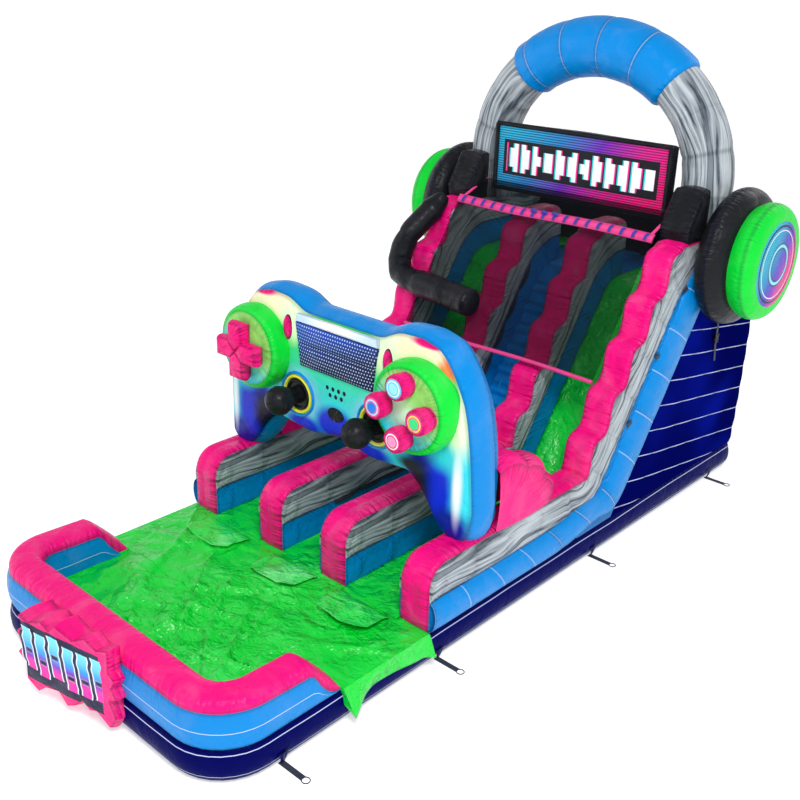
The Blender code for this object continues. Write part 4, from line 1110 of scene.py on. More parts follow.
def make_base():
    outline = base_outline()
    count = len(outline)
    run = lengths(outline + outline[:1])
    rows, heights = [], spread(0.0, BASE_Z, 11)
    for height in heights:
        share = height / BASE_Z
        puff, tuck_low, tuck_high = 0.055, 0.05, 0.02
        out = puff * hump(share) ** 0.6 - tuck_low * (1.0 - share) ** 6 - tuck_high * share ** 8
        row = []
        for k, p in enumerate(outline):
            ahead = (outline[(k + 1) % count] - outline[k - 1]).normalized()
            row.append(Vector((p.x + ahead.y * out, p.y - ahead.x * out, height)))
        rows.append(row)
    cloth = Cloth()
    verts = cloth.grid(
        rows, 0, True,
        lambda i, j: (run[j], min(heights[i], BASE_Z - heights[i])),
        lambda i, j: (run[j], heights[i]),
    )
    cloth.close(verts)
    cloth.finish("base_skin", ("base",), "navy_vinyl", replaces=("ground_base",))


def tower_path(front):
    """Plan path round the tower's two sides and back, starting at its front on the right."""
    corner = 0.10
    side = [Vector((HALF, y)) for y in spread(front, BACK - corner, 40)]
    bend = arc((HALF - corner, BACK - corner), corner, 0, 90, 6)[1:]
    back = [Vector((x, BACK)) for x in spread(HALF - corner, -HALF + corner, 49)[1:-1]]
    turned_round = [Vector((-p.x, p.y)) for p in reversed(side + bend)]
    return side + bend + back + turned_round


def tower_front(height):
    """Front edge of the navy panel at a height, just behind the side tube's lower edge."""
    return SLOPE_FOOT + (height - LANE_FLOOR) / math.tan(SLOPE) + TUBE_BEHIND / math.sin(SLOPE)


def back_bulge(x):
    """How far the tower's back puffs out between its upright seams."""
    if abs(x) >= HALF - 0.15:
        return 0.02
    return 0.06 * abs(math.sin(math.pi * (x + HALF) / PUFF_WIDTH)) ** 0.6


def tower_skin(cloth, heights, front_of):
    welds = sizes().welds
    rows, levels, runs = [], [], []
    for height in heights:
        front = front_of(height)
        path = tower_path(front)
        row, level = [], []
        tall = math.sin(math.pi * (height - heights[0]) / (heights[-1] - heights[0])) ** 0.4
        for k, p in enumerate(path):
            ahead = heading(path, k)
            weld = height + WELD_LEAN * (p.y - 5.0)
            near = off_line(weld, welds)
            edge = min(1.0, (p.y - front) / 0.5)
            out = back_bulge(p.x)
            if abs(p.x) > HALF - 0.05:
                out = edge * (0.035 * tall + 0.018 * math.sqrt(near * 2.0 / welds))
            row.append(Vector((p.x + ahead.y * out, p.y - ahead.x * out, height)))
            level.append((weld, near))
        rows.append(row)
        levels.append(level)
        runs.append(lengths(path))
    cloth.grid(
        rows, 0, False,
        lambda i, j: (runs[i][j], levels[i][j][1]),
        lambda i, j: (runs[i][j], levels[i][j][0]),
    )


def make_tower():
    """Navy sides and back, with the puffed rear wall above the platform."""
    cloth = Cloth()
    tower_skin(cloth, spread(BASE_Z, PLATFORM_Z, 34), tower_front)
    tower_skin(cloth, spread(PLATFORM_Z, TOP_Z, 10), lambda height: WALL_END)
    rows = []
    for share in parts(9):
        turn = math.pi * share
        across = 0.5 - 0.5 * math.cos(turn)
        rows.append([
            Vector((x, mix(WALL_END, BACK + back_bulge(x), across), TOP_Z + 0.05 * math.sin(turn)))
            for x in spread(-HALF, HALF, 90)
        ])
    cloth.grid(rows, 1, False, lambda i, j: (j * 0.15, min(i, 8 - i) * 0.05))
    rows = []
    for height in spread(PLATFORM_Z, TOP_Z, 8):
        out = 0.04 * math.sin(math.pi * (height - PLATFORM_Z) / (TOP_Z - PLATFORM_Z))
        rows.append([Vector((x, WALL_END - out, height)) for x in spread(-HALF, HALF, 30)])
    pitch = 0.11
    cloth.grid(
        rows, 2, False,
        lambda i, j: (j * 0.15, min(i, 7 - i) * pitch),
        lambda i, j: (j * 0.15, i * pitch),
    )
    cloth.finish("tower_skin", ("tower", "pink", "black"), "navy_vinyl", replaces=("tower_body",))
    repaint("slide_bed", "blue")


def side_tube_path():
    """Upper and lower edges of the blue side tube, as (y, z) pairs."""
    low, high = BASE_Z + 0.02, BASE_Z + 0.41
    upper = [(0.0, high), (1.2, high), (2.3, high + 0.01), (3.04, high + 0.10)]
    lower = [(0.0, low), (1.5, low), (2.65, low), (3.44, low + 0.13)]
    upper = [Vector(p) for p in upper] + [slope_point(0.45, 0.34), slope_point(1.05, 0.34)]
    lower = [Vector(p) for p in lower] + [slope_point(0.30, -0.20), slope_point(1.00, -0.27)]
    for distance in (2.0, 3.0, 3.95):
        upper.append(slope_point(distance, 0.34))
        lower.append(slope_point(distance, -0.29))
    return smooth_path(upper), smooth_path(lower)


def smooth_path(points, steps=8):
    """A smooth path through its points."""
    ends = [points[0] * 2 - points[1]] + points + [points[-1] * 2 - points[-2]]
    found = []
    for a, b, c, d in zip(ends, ends[1:], ends[2:], ends[3:]):
        for k in range(steps):
            t = k / steps
            found.append(0.5 * (2 * b + (c - a) * t + (2 * a - 5 * b + 4 * c - d) * t * t
                                + (3 * b - a - 3 * c + d) * t ** 3))
    return found + [points[-1]]


def make_side_tubes():
    upper, lower = side_tube_path()
    run = lengths([(a + b) / 2 for a, b in zip(upper, lower)])
    for word, way in SIDES:
        cloth = Cloth()
        rows = []
        for i, (high, low) in enumerate(zip(upper, lower)):
            middle, reach = (high + low) / 2, (high - low) / 2
            puff = 0.115 - 0.014 * math.exp(-off_line(run[i], SEAM_EVERY) / 0.03)
            row = []
            for angle in spread(-90.0, 90.0, 13):
                turn = math.radians(angle)
                flat = middle + reach * math.sin(turn)
                row.append(Vector((way * (HALF + puff * math.cos(turn)), flat.x, flat.y)))
            rows.append(row)
        cloth.grid(
            rows, 0, False,
            lambda i, j: (j * 0.05, off_line(run[i], SEAM_EVERY)),
            lambda i, j: (run[i], j * 0.05),
        )
        name = f"side_tube_{word}"
        cloth.skin(name, ("tube",), "blue_vinyl")


# ---- lane coverings --------------------------------------
def lane_rows(x_low, x_high, columns, step, relief):
    """Rows of points of a covering along a lane, its path and the length along it."""
    path = resample([Vector((-0.07, 0.0))] + raised(lane_line(), LINER_LIFT), step)
    for p in path:
        if p.x < BED_TOE_Y - 0.1:
            p.y = BASE_Z + LINER_LIFT + 0.006
    run = lengths(path)
    rows = []
    for i, p in enumerate(path):
        normal = square_to(heading(path, i))
        row = []
        for x in spread(x_low, x_high, columns):
            lift = relief(x, run[i])
            row.append(Vector((x, p.x + normal.x * lift, p.y + normal.y * lift)))
        rows.append(row)
    return rows, run


def make_slide_liners():
    """Green sliding sheets of the two outer lanes."""
    def relief(x, along):
        return 0.007 * crumple(Vector((x, along, 0.0)), 1.4)

    for word, way in SIDES:
        edges = sorted((way * (OUTER_IN - 0.002), way * (INNER_OUT + 0.002)))
        rows, run = lane_rows(*edges, 22, 0.055, relief)
        cloth = Cloth()
        cloth.grid(rows, 0, False, lambda i, j: (run[i], 1.0), lambda i, j: (run[i], j * 0.05))
        name = f"slide_liner_{word}"
        piece = cloth.finish(f"{name}_sheet", ("liner",), "green_vinyl", replaces=(name,))
        thicken(piece, 0.004)


def make_climb():
    """Climbing sheet, green where it is level and blue with round rungs across its slope."""
    first = BED_TOE_Y + FOOT_RADIUS * SLOPE + 0.12
    pitch, count, radius = 0.34, 8, 0.06

    def relief(x, along):
        spot = (along - first) / pitch
        if not -0.5 < spot < count - 0.5:
            return 0.004 * crumple(Vector((x, along, 2.0)), 1.4)
        near = abs(spot - round(spot)) * pitch
        return radius * math.sqrt(max(0.0, 1.0 - (near / radius) ** 2)) if near < radius else 0.0

    rows, run = lane_rows(-CENTRE_HALF + 0.002, CENTRE_HALF - 0.002, 10, 0.02, relief)
    cloth = Cloth()
    cloth.grid(
        rows, 0, False,
        lambda i, j: (j * 0.08, off_line(run[i] + pitch / 2, pitch)),
        lambda i, j: (run[i], j * 0.08),
        lambda i, j: 1 if run[i] < BED_TOE_Y else 0,
    )
    cloth.finish("climb_sheet", ("blue", "liner"), "blue_vinyl", replaces=("climbing_ramp",))


def make_hand_holds():
    """Webbing lines with gripping loops on both walls of the climbing lane."""
    height = 0.42
    path = [Vector((y, BASE_Z + height)) for y in (0.9, 2.4)]
    path += [slope_point(distance, height) for distance in (-0.35, 0.45, 1.8, 3.3)]
    line = resample(smooth_path(path), 0.06)
    run = lengths(line)
    for word, way in SIDES:
        cloth = Cloth()
        flat = way * (CENTRE_HALF - sizes().puff - 0.006)
        for start in spread(0.0, run[-1] - 0.5, 12):
            stretch = []
            for share in parts(9):
                p = point_at(line, run, start + 0.42 * share)
                bow = 0.035 * hump(share)
                stretch.append(Vector((flat - way * bow, p.x, p.y)))
            across = stretch[-1] - stretch[0]
            wide = Vector((0.0, -across.z, across.y))
            ribbon(cloth, stretch, 0.055, wide)
        base = [Vector((flat + way * 0.004, p.x, p.y)) for p in line]
        for a, b in zip(base[::6], base[6::6]):
            ribbon(cloth, [a, a.lerp(b, 0.5), b], 0.038, Vector((0.0, -(b - a).z, (b - a).y)))
        name = f"hand_hold_{word}"
        cloth.finish(f"{name}_loops", ("dark_webbing",), "webbing", replaces=(name,))


# ---- pool ------------------------------------------------
def pool_stations():
    """Plan points, tops and outward directions along the pool wall, right arm to left arm."""
    middle = HALF - POOL_WALL / 2
    radius = CORNER - POOL_WALL / 2
    front = POOL_FRONT + POOL_WALL / 2
    right = [Vector((middle, POOL_ARM_END)), Vector((middle, POOL_ARM_END - 0.42))]
    right += arc((middle - radius, front + radius), radius, 0, -90, 16)
    left = [Vector((-p.x, p.y)) for p in reversed(right)]
    return resample(right + left, 0.07)


def make_pool_wall():
    path = pool_stations()
    run = lengths(path)
    half = POOL_WALL / 2
    sections = []
    for i, p in enumerate(path):
        out = square_to(heading(path, i))
        near = min(run[i], run[-1] - run[i])
        top = mix(BASE_Z + 0.06, POOL_TOP, min(1.0, near / 0.40) ** 0.8)
        top -= 0.05 * max(0.0, 1.0 - near / 1.2) * min(1.0, near / 0.40)
        full = min(1.0, near / 0.35)
        edge = mix(BASE_Z + 0.02, top - 0.15, full)
        outer, crown, inner = [], [], []
        for share in parts(8):
            puff = 0.045 * hump(share) ** 0.8 * full
            outer.append((half + puff, mix(BASE_Z, edge, share)))
            inner.append((-half - puff * 0.8, mix(edge, BASE_Z, share)))
        for turn in spread(0.0, math.pi, 13):
            crown.append((half * (abs(math.cos(turn)) ** 0.75) * math.copysign(1.0, math.cos(turn)),
                          edge + (top - edge) * math.sin(turn) ** 0.75))
        sections.append([
            [Vector((p.x + out.x * d, p.y + out.y * d, z)) for d, z in part] for part in (outer, crown, inner)
        ])
    cloth = Cloth()
    for part, finish, across in ((0, 1, 7), (1, 0, 12), (2, 1, 7)):
        rows = [section[part] for section in sections]

        def seam(i, j, across=across):
            share = j / across
            return run[i], 0.45 * min(share, 1.0 - share)

        cloth.grid(rows, finish, False, seam, lambda i, j, across=across: (run[i], 0.5 * j / across))
    cloth.skin("pool_wall", ("pink", "pool_side"), "pink_vinyl")


def pool_half_width(y):
    """Half width of the pool's floor at a distance from the lane mouths."""
    inner = HALF - POOL_WALL - 0.01
    front = POOL_FRONT + POOL_WALL + 0.01
    corner = CORNER - POOL_WALL
    if y < front + corner:
        deep = min(1.0, (front + corner - y) / corner)
        return inner - corner * (1.0 - math.sqrt(max(0.0, 1.0 - deep * deep)))
    return inner


def skirt_corner(y):
    """How near a place along the low side is to one of the skirt's two corners."""
    return abs(2.0 * y / POOL_ARM_END - 1.0) ** 3


def long_folds(x, y):
    """Sharp folds across the slack sheet: 0 on the flat and 1 on a fold's crest."""
    total = 0.0
    for turn, size, seed in ((0.5, 0.62, 3.0), (-0.9, 0.80, 11.0), (1.9, 0.55, 23.0)):
        along = x * math.cos(turn) + y * math.sin(turn)
        across = y * math.cos(turn) - x * math.sin(turn)
        bend = noise.noise(Vector((along * 0.35, across * size * 2.2, seed)))
        patch = max(0.0, noise.noise(Vector((along * 0.55, across * 0.55, seed + 7.0))) + 0.22)
        total += max(0.0, 1.0 - abs(bend) * 11.0) * min(1.0, patch * 2.6)
    return min(total, 1.3)


def make_pool_liner():
    """Crumpled green sheet over the pool's floor, its skirts hanging over the two low sides."""
    fold = sizes().crumple
    front = POOL_FRONT + POOL_WALL + 0.01
    edge = HALF + 0.035
    rows = []
    for y in spread(front, -0.01, 110):
        low_side = y > POOL_ARM_END
        half = edge if low_side else pool_half_width(y)
        row = []
        for q in spread(-1.0, 1.0, 151):
            x = half * q
            spot = Vector((x, y, 0.0))
            slack = min(1.0, (1.0 - abs(q)) * 8.0, (y - front) / 0.15, -y / 0.08)
            folds = long_folds(x, y) * min(1.0, -y / 0.6)
            lift = slack * (fold * crumple(spot, 0.95) + 0.060 * folds)
            row.append(Vector((x, y, BASE_Z + 0.012 + max(lift + 0.014, 0.0))))
        hang = []
        for deep in parts(7)[1:]:
            out, drop = 0.0, -0.05 * deep
            if low_side:
                corner = skirt_corner(y)
                ripple = 0.022 * (1.0 + math.sin(9.0 * y + 1.3 * math.sin(4.0 * y)))
                flare = 0.09 * corner + 0.06 * max(0.0, (POOL_ARM_END + 0.45 - y) / 0.45)
                out, drop = 0.012 + (ripple + flare) * deep, (0.17 + 0.10 * corner) * deep
            hang.append((half + out, BASE_Z + 0.014 - drop))
        left = [Vector((-x, y, z)) for x, z in reversed(hang)]
        rows.append(left + row + [Vector((x, y, z)) for x, z in hang])
    cloth = Cloth()
    cloth.grid(rows, 0)
    piece = cloth.finish("pool_liner_sheet", ("liner",), "green_vinyl", replaces=("pool_liner",))
    thicken(piece, 0.003)


def make_seam_flaps():
    """Loose flaps over the seam between pool and lanes."""
    for word, tilt in (("left", 0.7), ("centre", 2.1), ("right", 4.4)):
        node = f"seam_flap_{word}"
        low, high, middle = lane_box(node)
        half, deep = (high.x - low.x) / 2, high.y - low.y
        rows = []
        for s in parts(18):
            narrow = (half - 0.045) * (1.0 - 0.22 * max(0.0, (s - 0.75) / 0.25))
            row = []
            for q in spread(-1.0, 1.0, 28):
                x = middle.x + narrow * q + 0.008 * math.sin(tilt + 3.0 * s)
                y = high.y - deep * s
                wave = max(crumple(Vector((x, y, tilt)), 2.2) * 0.040 + 0.020, 0.0)
                curl = 0.09 * max(0.0, abs(q) - 0.62) * s + 0.06 * max(0.0, s - 0.8)
                row.append(Vector((x, y, low.z + 0.026 + 0.029 * min(1.0, s * 6.0) + wave * s + curl)))
            rows.append(row)
        cloth = Cloth()
        cloth.grid(rows, 0)
        piece = cloth.finish(f"{node}_sheet", ("flap",), "green_vinyl", body=node, replaces=(node,))
        thicken(piece, 0.003)


# ---- braces behind the grips -----------------------------
def make_braces():
    """Fanned pink pillows that hold the grips up from behind."""
    for word, _ in SIDES:
        node = f"brace_pillow_{word}"
        low, high, middle = lane_box(node)
        wide, long, tall = high - low
        rows = []
        turns = spread(0.0, 90.0, 40)
        for turn in turns:
            angle = math.radians(turn)
            puff = 0.95 + 0.07 * abs(math.sin(angle * 6.0))
            reach = Vector((long * math.cos(angle), tall * math.sin(angle))) * puff
            row = []
            for q in spread(-1.0, 1.0, 15):
                crown = 1.0 - 0.10 * abs(q) ** 3
                x = middle.x + wide / 2 * q * 1.03
                row.append(Vector((x, low.y + reach.x * crown, low.z + reach.y * crown)))
            rows.append(row)
        cloth = Cloth()
        cloth.grid(
            rows, 0, False,
            lambda i, j: (j * 0.06, off_line(turns[i] / 30.0, 1.0) * 0.55),
        )
        for end, side in ((0, low.x), (-1, high.x)):
            centre = Vector((side, low.y, low.z))
            fan = []
            for share in spread(0.02, 1.0, 6):
                bulge = Vector((0.03 * hump(share) * (1 if end else -1), 0.0, 0.0))
                fan.append([centre.lerp(row[end], share) + bulge for row in rows])
            cloth.grid(fan, 0, False, lambda i, j: (j * 0.05, (5 - i) * 0.1))
        cloth.skin(node, ("pink",), "pink_vinyl")


# ---- game pad --------------------------------------------
def pad_edges():
    """Heights of the game pad's lower and upper edge across its half width."""
    tip = PAD_HIGH.x
    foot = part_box("game_pad_grip_right")[0].z
    upper = [(0.0, 3.46), (0.66, 3.46), (0.95, 3.60), (1.30, 3.62), (1.60, 3.54), (1.84, 3.22),
             (2.02, 2.82), (tip, 2.22), (tip + 0.04, 1.72)]
    lower = [(0.0, 1.98), (0.50, 1.87), (0.95, 1.90), (1.18, 1.93), (1.42, 1.74), (1.64, 1.42),
             (1.80, foot), (2.04, foot), (tip + 0.02, foot + 0.13), (tip + 0.04, 1.68)]
    return lower, upper


def soft_between(value, table, blur=0.07):
    """A look-up whose corners are rounded over a blur."""
    last = table[-1][0]
    spots = [min(max(abs(value + blur * q), 0.0), last) for q in (-1.0, -0.5, 0.0, 0.5, 1.0)]
    return sum(between(spot, table) for spot in spots) / 5


def pad_outline():
    """Columns of (x, low, high) across the game pad."""
    lower, upper = pad_edges()
    reach = upper[-1][0]
    columns = []
    for turn in spread(-90.0, 90.0, 121):
        share = math.sin(math.radians(turn))
        x = reach * (0.6 * turn / 90.0 + 0.4 * share)
        near = min(0.07, (reach - abs(x)) * 0.8)
        low, high = soft_between(x, lower, near), soft_between(x, upper, near)
        columns.append((x, low, max(high, low + 0.02)))
    return columns


def make_game_pad():
    """Printed front, blue gusset and back of the game pad, grips included."""
    columns = pad_outline()
    reach = columns[-1][0]
    front, back = PAD_LOW.y - MOUTH, PAD_HIGH.y - MOUTH
    rounding, bulge = 0.26, 0.11
    cloth = Cloth()
    for side, way, finish in ((front, -1.0, 0), (back, 1.0, 1)):
        rows, aways = [], []
        for share in parts(33):
            rows.append([])
            aways.append([])
            for x, low, high in columns:
                z = mix(low, high, 0.5 - 0.5 * math.cos(math.pi * share))
                away = min(z - low, high - z, (reach - abs(x)) * 1.4)
                depth = bulge * math.sqrt(max(0.0, 1.0 - (1.0 - min(1.0, away / rounding)) ** 2))
                rows[-1].append(Vector((x, side + way * (depth - 0.03), z)))
                aways[-1].append(max(away, 0.0))
        cloth.grid(
            rows, finish, False,
            lambda i, j, rows=rows, aways=aways: (rows[i][j].x + rows[i][j].z, aways[i][j]),
            lambda i, j, rows=rows: (rows[i][j].x, rows[i][j].z),
        )
    ring = [Vector((x, low)) for x, low, _ in columns]
    ring += [Vector((x, high)) for x, _, high in reversed(columns)]
    run = lengths(ring + ring[:1])
    count = len(ring)
    rows = []
    shares = parts(11)
    for share in shares:
        out = 0.075 * hump(share) ** 0.7
        row = []
        for k, p in enumerate(ring):
            flat = p - square_to(ring[(k + 2) % count] - ring[k - 2]).normalized() * out
            row.append(Vector((flat.x, mix(front + 0.03, back - 0.03, share), flat.y)))
        rows.append(row)
    cloth.grid(
        rows, 1, True,
        lambda i, j: (run[j], 0.5 * min(shares[i], 1.0 - shares[i])),
        lambda i, j: (run[j], shares[i] * 0.5),
    )
    nodes = ("game_pad_body", "game_pad_grip_left", "game_pad_grip_right")
    cloth.finish("game_pad_skin", ("pad_face", "blue"), "blue_vinyl", replaces=nodes)
    face = front - 0.075
    make_touch_panel(face)
    make_pad_trim(face)


def panel_outline(corners):
    """A dense, slightly rounded outline through corners given as pairs of numbers."""
    return rounded(divided([Vector(corner) for corner in corners], 14))


def make_touch_panel(face):
    """Dotted panel in two puffed rows, with a white bar on top."""
    cloth = Cloth()
    for low, high, wide_low, wide_high in ((2.80, 3.09, 0.63, 0.67), (3.10, 3.36, 0.67, 0.71)):
        corners = [(-wide_low, low), (wide_low, low), (wide_high, high), (-wide_high, high)]
        pillow(cloth, panel_outline(corners), (face + 0.02, face - 0.02), "Y", (0.01, 0.045))
    corners = [(-0.71, 3.37), (0.71, 3.37), (0.69, 3.47), (-0.69, 3.47)]
    pillow(cloth, panel_outline(corners), (face + 0.03, face - 0.015), "Y", (0.01, 0.03), (1, 1, 1))
    cloth.finish("touch_panel", ("touch_panel", "white_bar"), "blue_vinyl")


def oval(middle, radii, count=36):
    (x, y), (wide, tall) = middle, radii
    return [Vector((x + wide * math.cos(t), y + tall * math.sin(t))) for t in all_round(count)]


def make_pad_trim(face):
    """Oblong keys, sound holes, the plain oval patch and the rings at the sticks' feet."""
    cloth = Cloth()
    for _, way in SIDES:
        spot = (way * 0.87, 3.24)
        pillow(cloth, oval(spot, (0.078, 0.165)), (face + 0.03, face - 0.004), "Y", (0.004, 0.01), (1, 1, 1))
        pillow(cloth, oval(spot, (0.060, 0.145)), (face + 0.02, face - 0.03), "Y", (0.008, 0.02))
    cloth.finish("oblong_keys", ("pink", "black"), "pink_vinyl")
    cloth = Cloth()
    for row, count in ((0, 4), (1, 3)):
        for place in range(count):
            spot = (0.10 * place + 0.05 * row - 0.15, 2.63 - 0.09 * row)
            pillow(
                cloth, oval(spot, (0.027, 0.030), 16), (face + 0.02, face - 0.006), "Y", (0.0, 0.004), rings=2
            )
    pillow(cloth, oval((0.0, 2.30), (0.14, 0.09)), (face + 0.02, face - 0.012), "Y", (0.004, 0.012))
    cloth.finish("sound_holes", ("black",), "black_vinyl")
    profile, paints = ring_profile()
    for word, _ in SIDES:
        middle = lane_box(f"thumb_stick_{word}")[2]
        cloth = Cloth()
        turned(cloth, profile, (middle.x, face + 0.02, middle.z), "Y", 48, paints)
        cloth.finish(f"stick_ring_{word}", ("blue", "yellow", "black"), "blue_vinyl")


def ring_profile():
    """Puffed rings round a stick's foot, from outside in, and the finish of each step."""
    profile, paints = [(0.0, 0.31)], []
    for outer, inner, paint in ((0.31, 0.265, 0), (0.265, 0.215, 1), (0.215, 0.165, 2)):
        for share in parts(6)[1:]:
            profile.append((-0.03 - 0.028 * hump(share), mix(outer, inner, share)))
            paints.append(paint)
    return profile, paints + [2]


def disc_skin(node, sides, root, rim, dome, finishes, slot, rim_rows, sink=0.0):
    """A puffed disc with a domed face.

    root is the hidden edge behind it, in metres and in shares of the radius; rim is in shares of the
    depth and of the radius; dome is its start in depth, its rise and its steps.
    """
    low, high, middle = lane_box(node)
    radius, depth = (high.x - low.x) / 2, high.y - low.y
    profile = [(root[0], radius * root[1])] + [(-depth * along, radius * share) for along, share in rim]
    seam = len(profile) - 1
    start, rise, steps = dome
    for s in parts(steps)[1:]:
        profile.append((-depth * start - rise * math.sin(math.pi / 2 * s), radius * 0.86 * (1.0 - s) + 0.002))
    paints = [0] * rim_rows + [1] * (len(profile) - rim_rows)
    cloth = Cloth()
    verts = turned(cloth, profile, (middle.x, high.y - sink, middle.z), "Y", sides, paints, (1, seam))
    cloth.cap(verts[-1], 1)
    cloth.skin(node, finishes, slot)


def make_discs():
    """Green discs with a paler printed face."""
    rim = [(0.0, 0.96)] + [(s, 0.94 + 0.08 * hump(s)) for s in spread(0.1, 0.86, 8)]
    rim += [(0.93, 0.91), (0.97, 0.86)]
    for node in ("cross_disc", "button_disc"):
        disc_skin(node, 56, (0.05, 0.93), rim, (0.97, 0.035, 9), ("green", "disc_face"), "green_vinyl", 11)


def make_buttons():
    """Four puffed round buttons, each with its own ringed face."""
    rim = [(s, 0.93 + 0.09 * hump(s)) for s in spread(0.0, 0.85, 8)] + [(0.93, 0.90)]
    for word in ("top", "outer", "bottom", "inner"):
        finishes = ("pink", f"face_{word}")
        disc_skin(
            f"round_button_{word}", 40, (0.06, 0.9), rim, (0.95, 0.02, 8), finishes, "pink_vinyl", 10, 0.035
        )


def make_cross():
    """Four puffed arms that meet in a point."""
    low, high, middle = lane_box("direction_cross")
    reach = (high.x - low.x) / 2
    half = reach * 0.315
    cloth = Cloth()
    for quarter in range(4):
        turn = Matrix.Rotation(math.pi / 2 * quarter, 2)
        corners = [(0.02, 0.0), (half, -half), (reach, -half), (reach, half), (half, half)]
        outline = [middle.xz + turn @ Vector(p) for p in corners]
        pillow(cloth, panel_outline(outline), (high.y - 0.03, low.y - 0.005), "Y", (0.030, 0.055), rings=6)
    cloth.skin("direction_cross", ("pink",), "pink_vinyl")


def make_sticks():
    """Black thumb sticks: a puckered ball on a short stalk."""
    for word, _ in SIDES:
        node = f"thumb_stick_{word}"
        low, high, middle = lane_box(node)
        radius = (high.x - low.x) / 2
        reach = high.y - low.y - radius * 0.96
        stalk = 0.105
        profile = [(-0.075, 0.115), (-0.11, stalk + 0.012), (-0.13, stalk), (-0.16, stalk)]
        for turn in spread(math.asin(stalk / radius), math.pi, 20):
            wave = 1.0 + 0.012 * math.sin(turn * 9.0)
            across = max(radius * math.sin(turn) * wave, 0.002)
            profile.append((radius * math.cos(turn) * wave - reach, across))
        cloth = Cloth()
        centre = (middle.x, high.y, middle.z)
        verts = turned(cloth, profile, centre, "Y", 36, None, (4, len(profile) - 1))
        cloth.close(verts)
        cloth.skin(node, ("black",), "black_vinyl", body=node)


# ---- headphones ------------------------------------------
def arch_line(start, end, count):
    """Centre line of the headphones' band between two angles."""
    middle = lane_box("arch_leg_right")[2]
    half, spring = 1.88, 4.75
    rise = lane_box("arch_top_pad")[1].z - 0.40 - spring
    angles = spread(math.radians(start), math.radians(end), count)
    return [Vector((half * math.cos(t), middle.y, spring + rise * math.sin(t))) for t in angles]


def make_arch():
    """Marble legs and the blue pad over the top of the band."""
    foot = lane_box("arch_leg_right")[0].z
    for word, way in reversed(SIDES):
        curve = arch_line(0.0, 52.0, 22)
        straight = [Vector((curve[0].x, curve[0].y, z)) for z in spread(foot, curve[0].z, 9)[:-1]]
        path = [Vector((way * p.x, p.y, p.z)) for p in straight + curve]
        cloth = Cloth()
        tube(cloth, path, 0.355, 28, 0.56, 0.014)
        cloth.finish(f"arch_leg_{word}_skin", ("marble",), "marble_vinyl", replaces=(f"arch_leg_{word}",))

    def radius(share):
        lip = min(share, 1.0 - share)
        return 0.345 + 0.07 * min(1.0, lip / 0.03) ** 0.5 + 0.012 * hump(share)

    cloth = Cloth()
    tube(cloth, arch_line(48.0, 132.0, 60), radius, 32, SEAM_EVERY, 0.016)
    cloth.skin("arch_top_pad", ("tube",), "blue_vinyl")


def make_ear_cups():
    """Black ring cushions and green domes with a plain ringed print."""
    for word, way in reversed(SIDES):
        node = f"ear_cushion_{word}"
        low, high, middle = lane_box(node)
        inset = 0.09
        inner = (low.x if way > 0 else high.x) + way * inset
        depth = high.x - low.x - inset
        tyre = depth / 2 * 1.02
        ring = (high.z - low.z) / 2 - tyre
        profile = [(0.0, 0.18)]
        for turn in spread(200.0, -20.0, 26):
            angle = math.radians(turn)
            profile.append((way * tyre * (1.0 - math.cos(angle)), ring + tyre * math.sin(angle)))
        profile.append((way * (depth - 0.05), 0.30))
        cloth = Cloth()
        verts = turned(cloth, profile, (inner, middle.y, middle.z), "X", 72, None, (1, 14, 26))
        cloth.close(verts)
        cloth.skin(node, ("black",), "black_vinyl")

        node = f"ear_cap_{word}"
        low, high, _ = lane_box(node)
        radius, depth = (high.z - low.z) / 2, high.x - low.x
        start = low.x if way > 0 else high.x
        profile = [(-way * 0.10, radius * 0.86)]
        for turn in spread(-35.0, 62.0, 16):
            angle = math.radians(turn)
            along = way * depth * (0.42 + 0.50 * math.sin(angle))
            profile.append((along, radius * (0.80 + 0.215 * math.cos(angle))))
        deep, wide = profile[-1]
        for share in parts(12)[1:]:
            profile.append((deep + way * 0.05 * math.sin(math.pi / 2 * share), wide * (1.0 - share) + 0.003))
        paints = [0 if across > 0.60 else 1 for _, across in profile]
        cloth = Cloth()
        verts = turned(cloth, profile, (start, middle.y, middle.z), "X", 72, paints, (0, 9))
        cloth.cap(verts[-1], 1)
        cloth.skin(node, ("green", "cup_print"), "green_vinyl")


def make_blocks():
    """Black wedge bags in front of the band's legs."""
    for word, _ in reversed(SIDES):
        node = f"arch_block_{word}"
        low, high, _ = lane_box(node)
        corners = [
            (low.y + 0.02, low.z), (high.y, low.z), (high.y, high.z),
            (mix(low.y, high.y, 0.62), high.z), (low.y - 0.02, low.z + 0.20),
        ]
        outline = rounded(panel_outline(corners))
        cloth = Cloth()
        pillow(cloth, outline, (low.x + 0.04, high.x - 0.04), "X", (0.03, 0.085))
        cloth.skin(node, ("black",), "black_vinyl")


def make_banner():
    """Black puffed frame round the printed face."""
    low, high, _ = lane_box("banner_panel")
    half, rim = high.x, 0.035
    corners = [Vector(p) for p in ((-half, low.z), (half, low.z), (half, high.z), (-half, high.z))]
    cloth = Cloth()
    pillow(cloth, panel_outline(corners), (high.y, low.y), "Y", (0.03, 0.025), (1, 1, 0))
    cloth.finish("banner_skin", ("banner_face", "black"), "black_vinyl", replaces=("banner_panel",))
    cloth = Cloth()
    for a, b in zip(corners, corners[1:] + corners[:1]):
        path = [Vector((p.x, low.y - 0.01, p.y)) for p in (a, b)]
        tube(cloth, resample(path, 0.12), rim, 12, up=(0.3, 1.0, 0.2))
    cloth.finish("banner_rim", ("black",), "black_vinyl")


def elbowed(path, cut):
    """The same path with each corner cut a little short."""
    found = [path[0]]
    for before, here, after in zip(path, path[1:], path[2:]):
        found += [here + (before - here).normalized() * cut, here + (after - here).normalized() * cut]
    return found + [path[-1]]


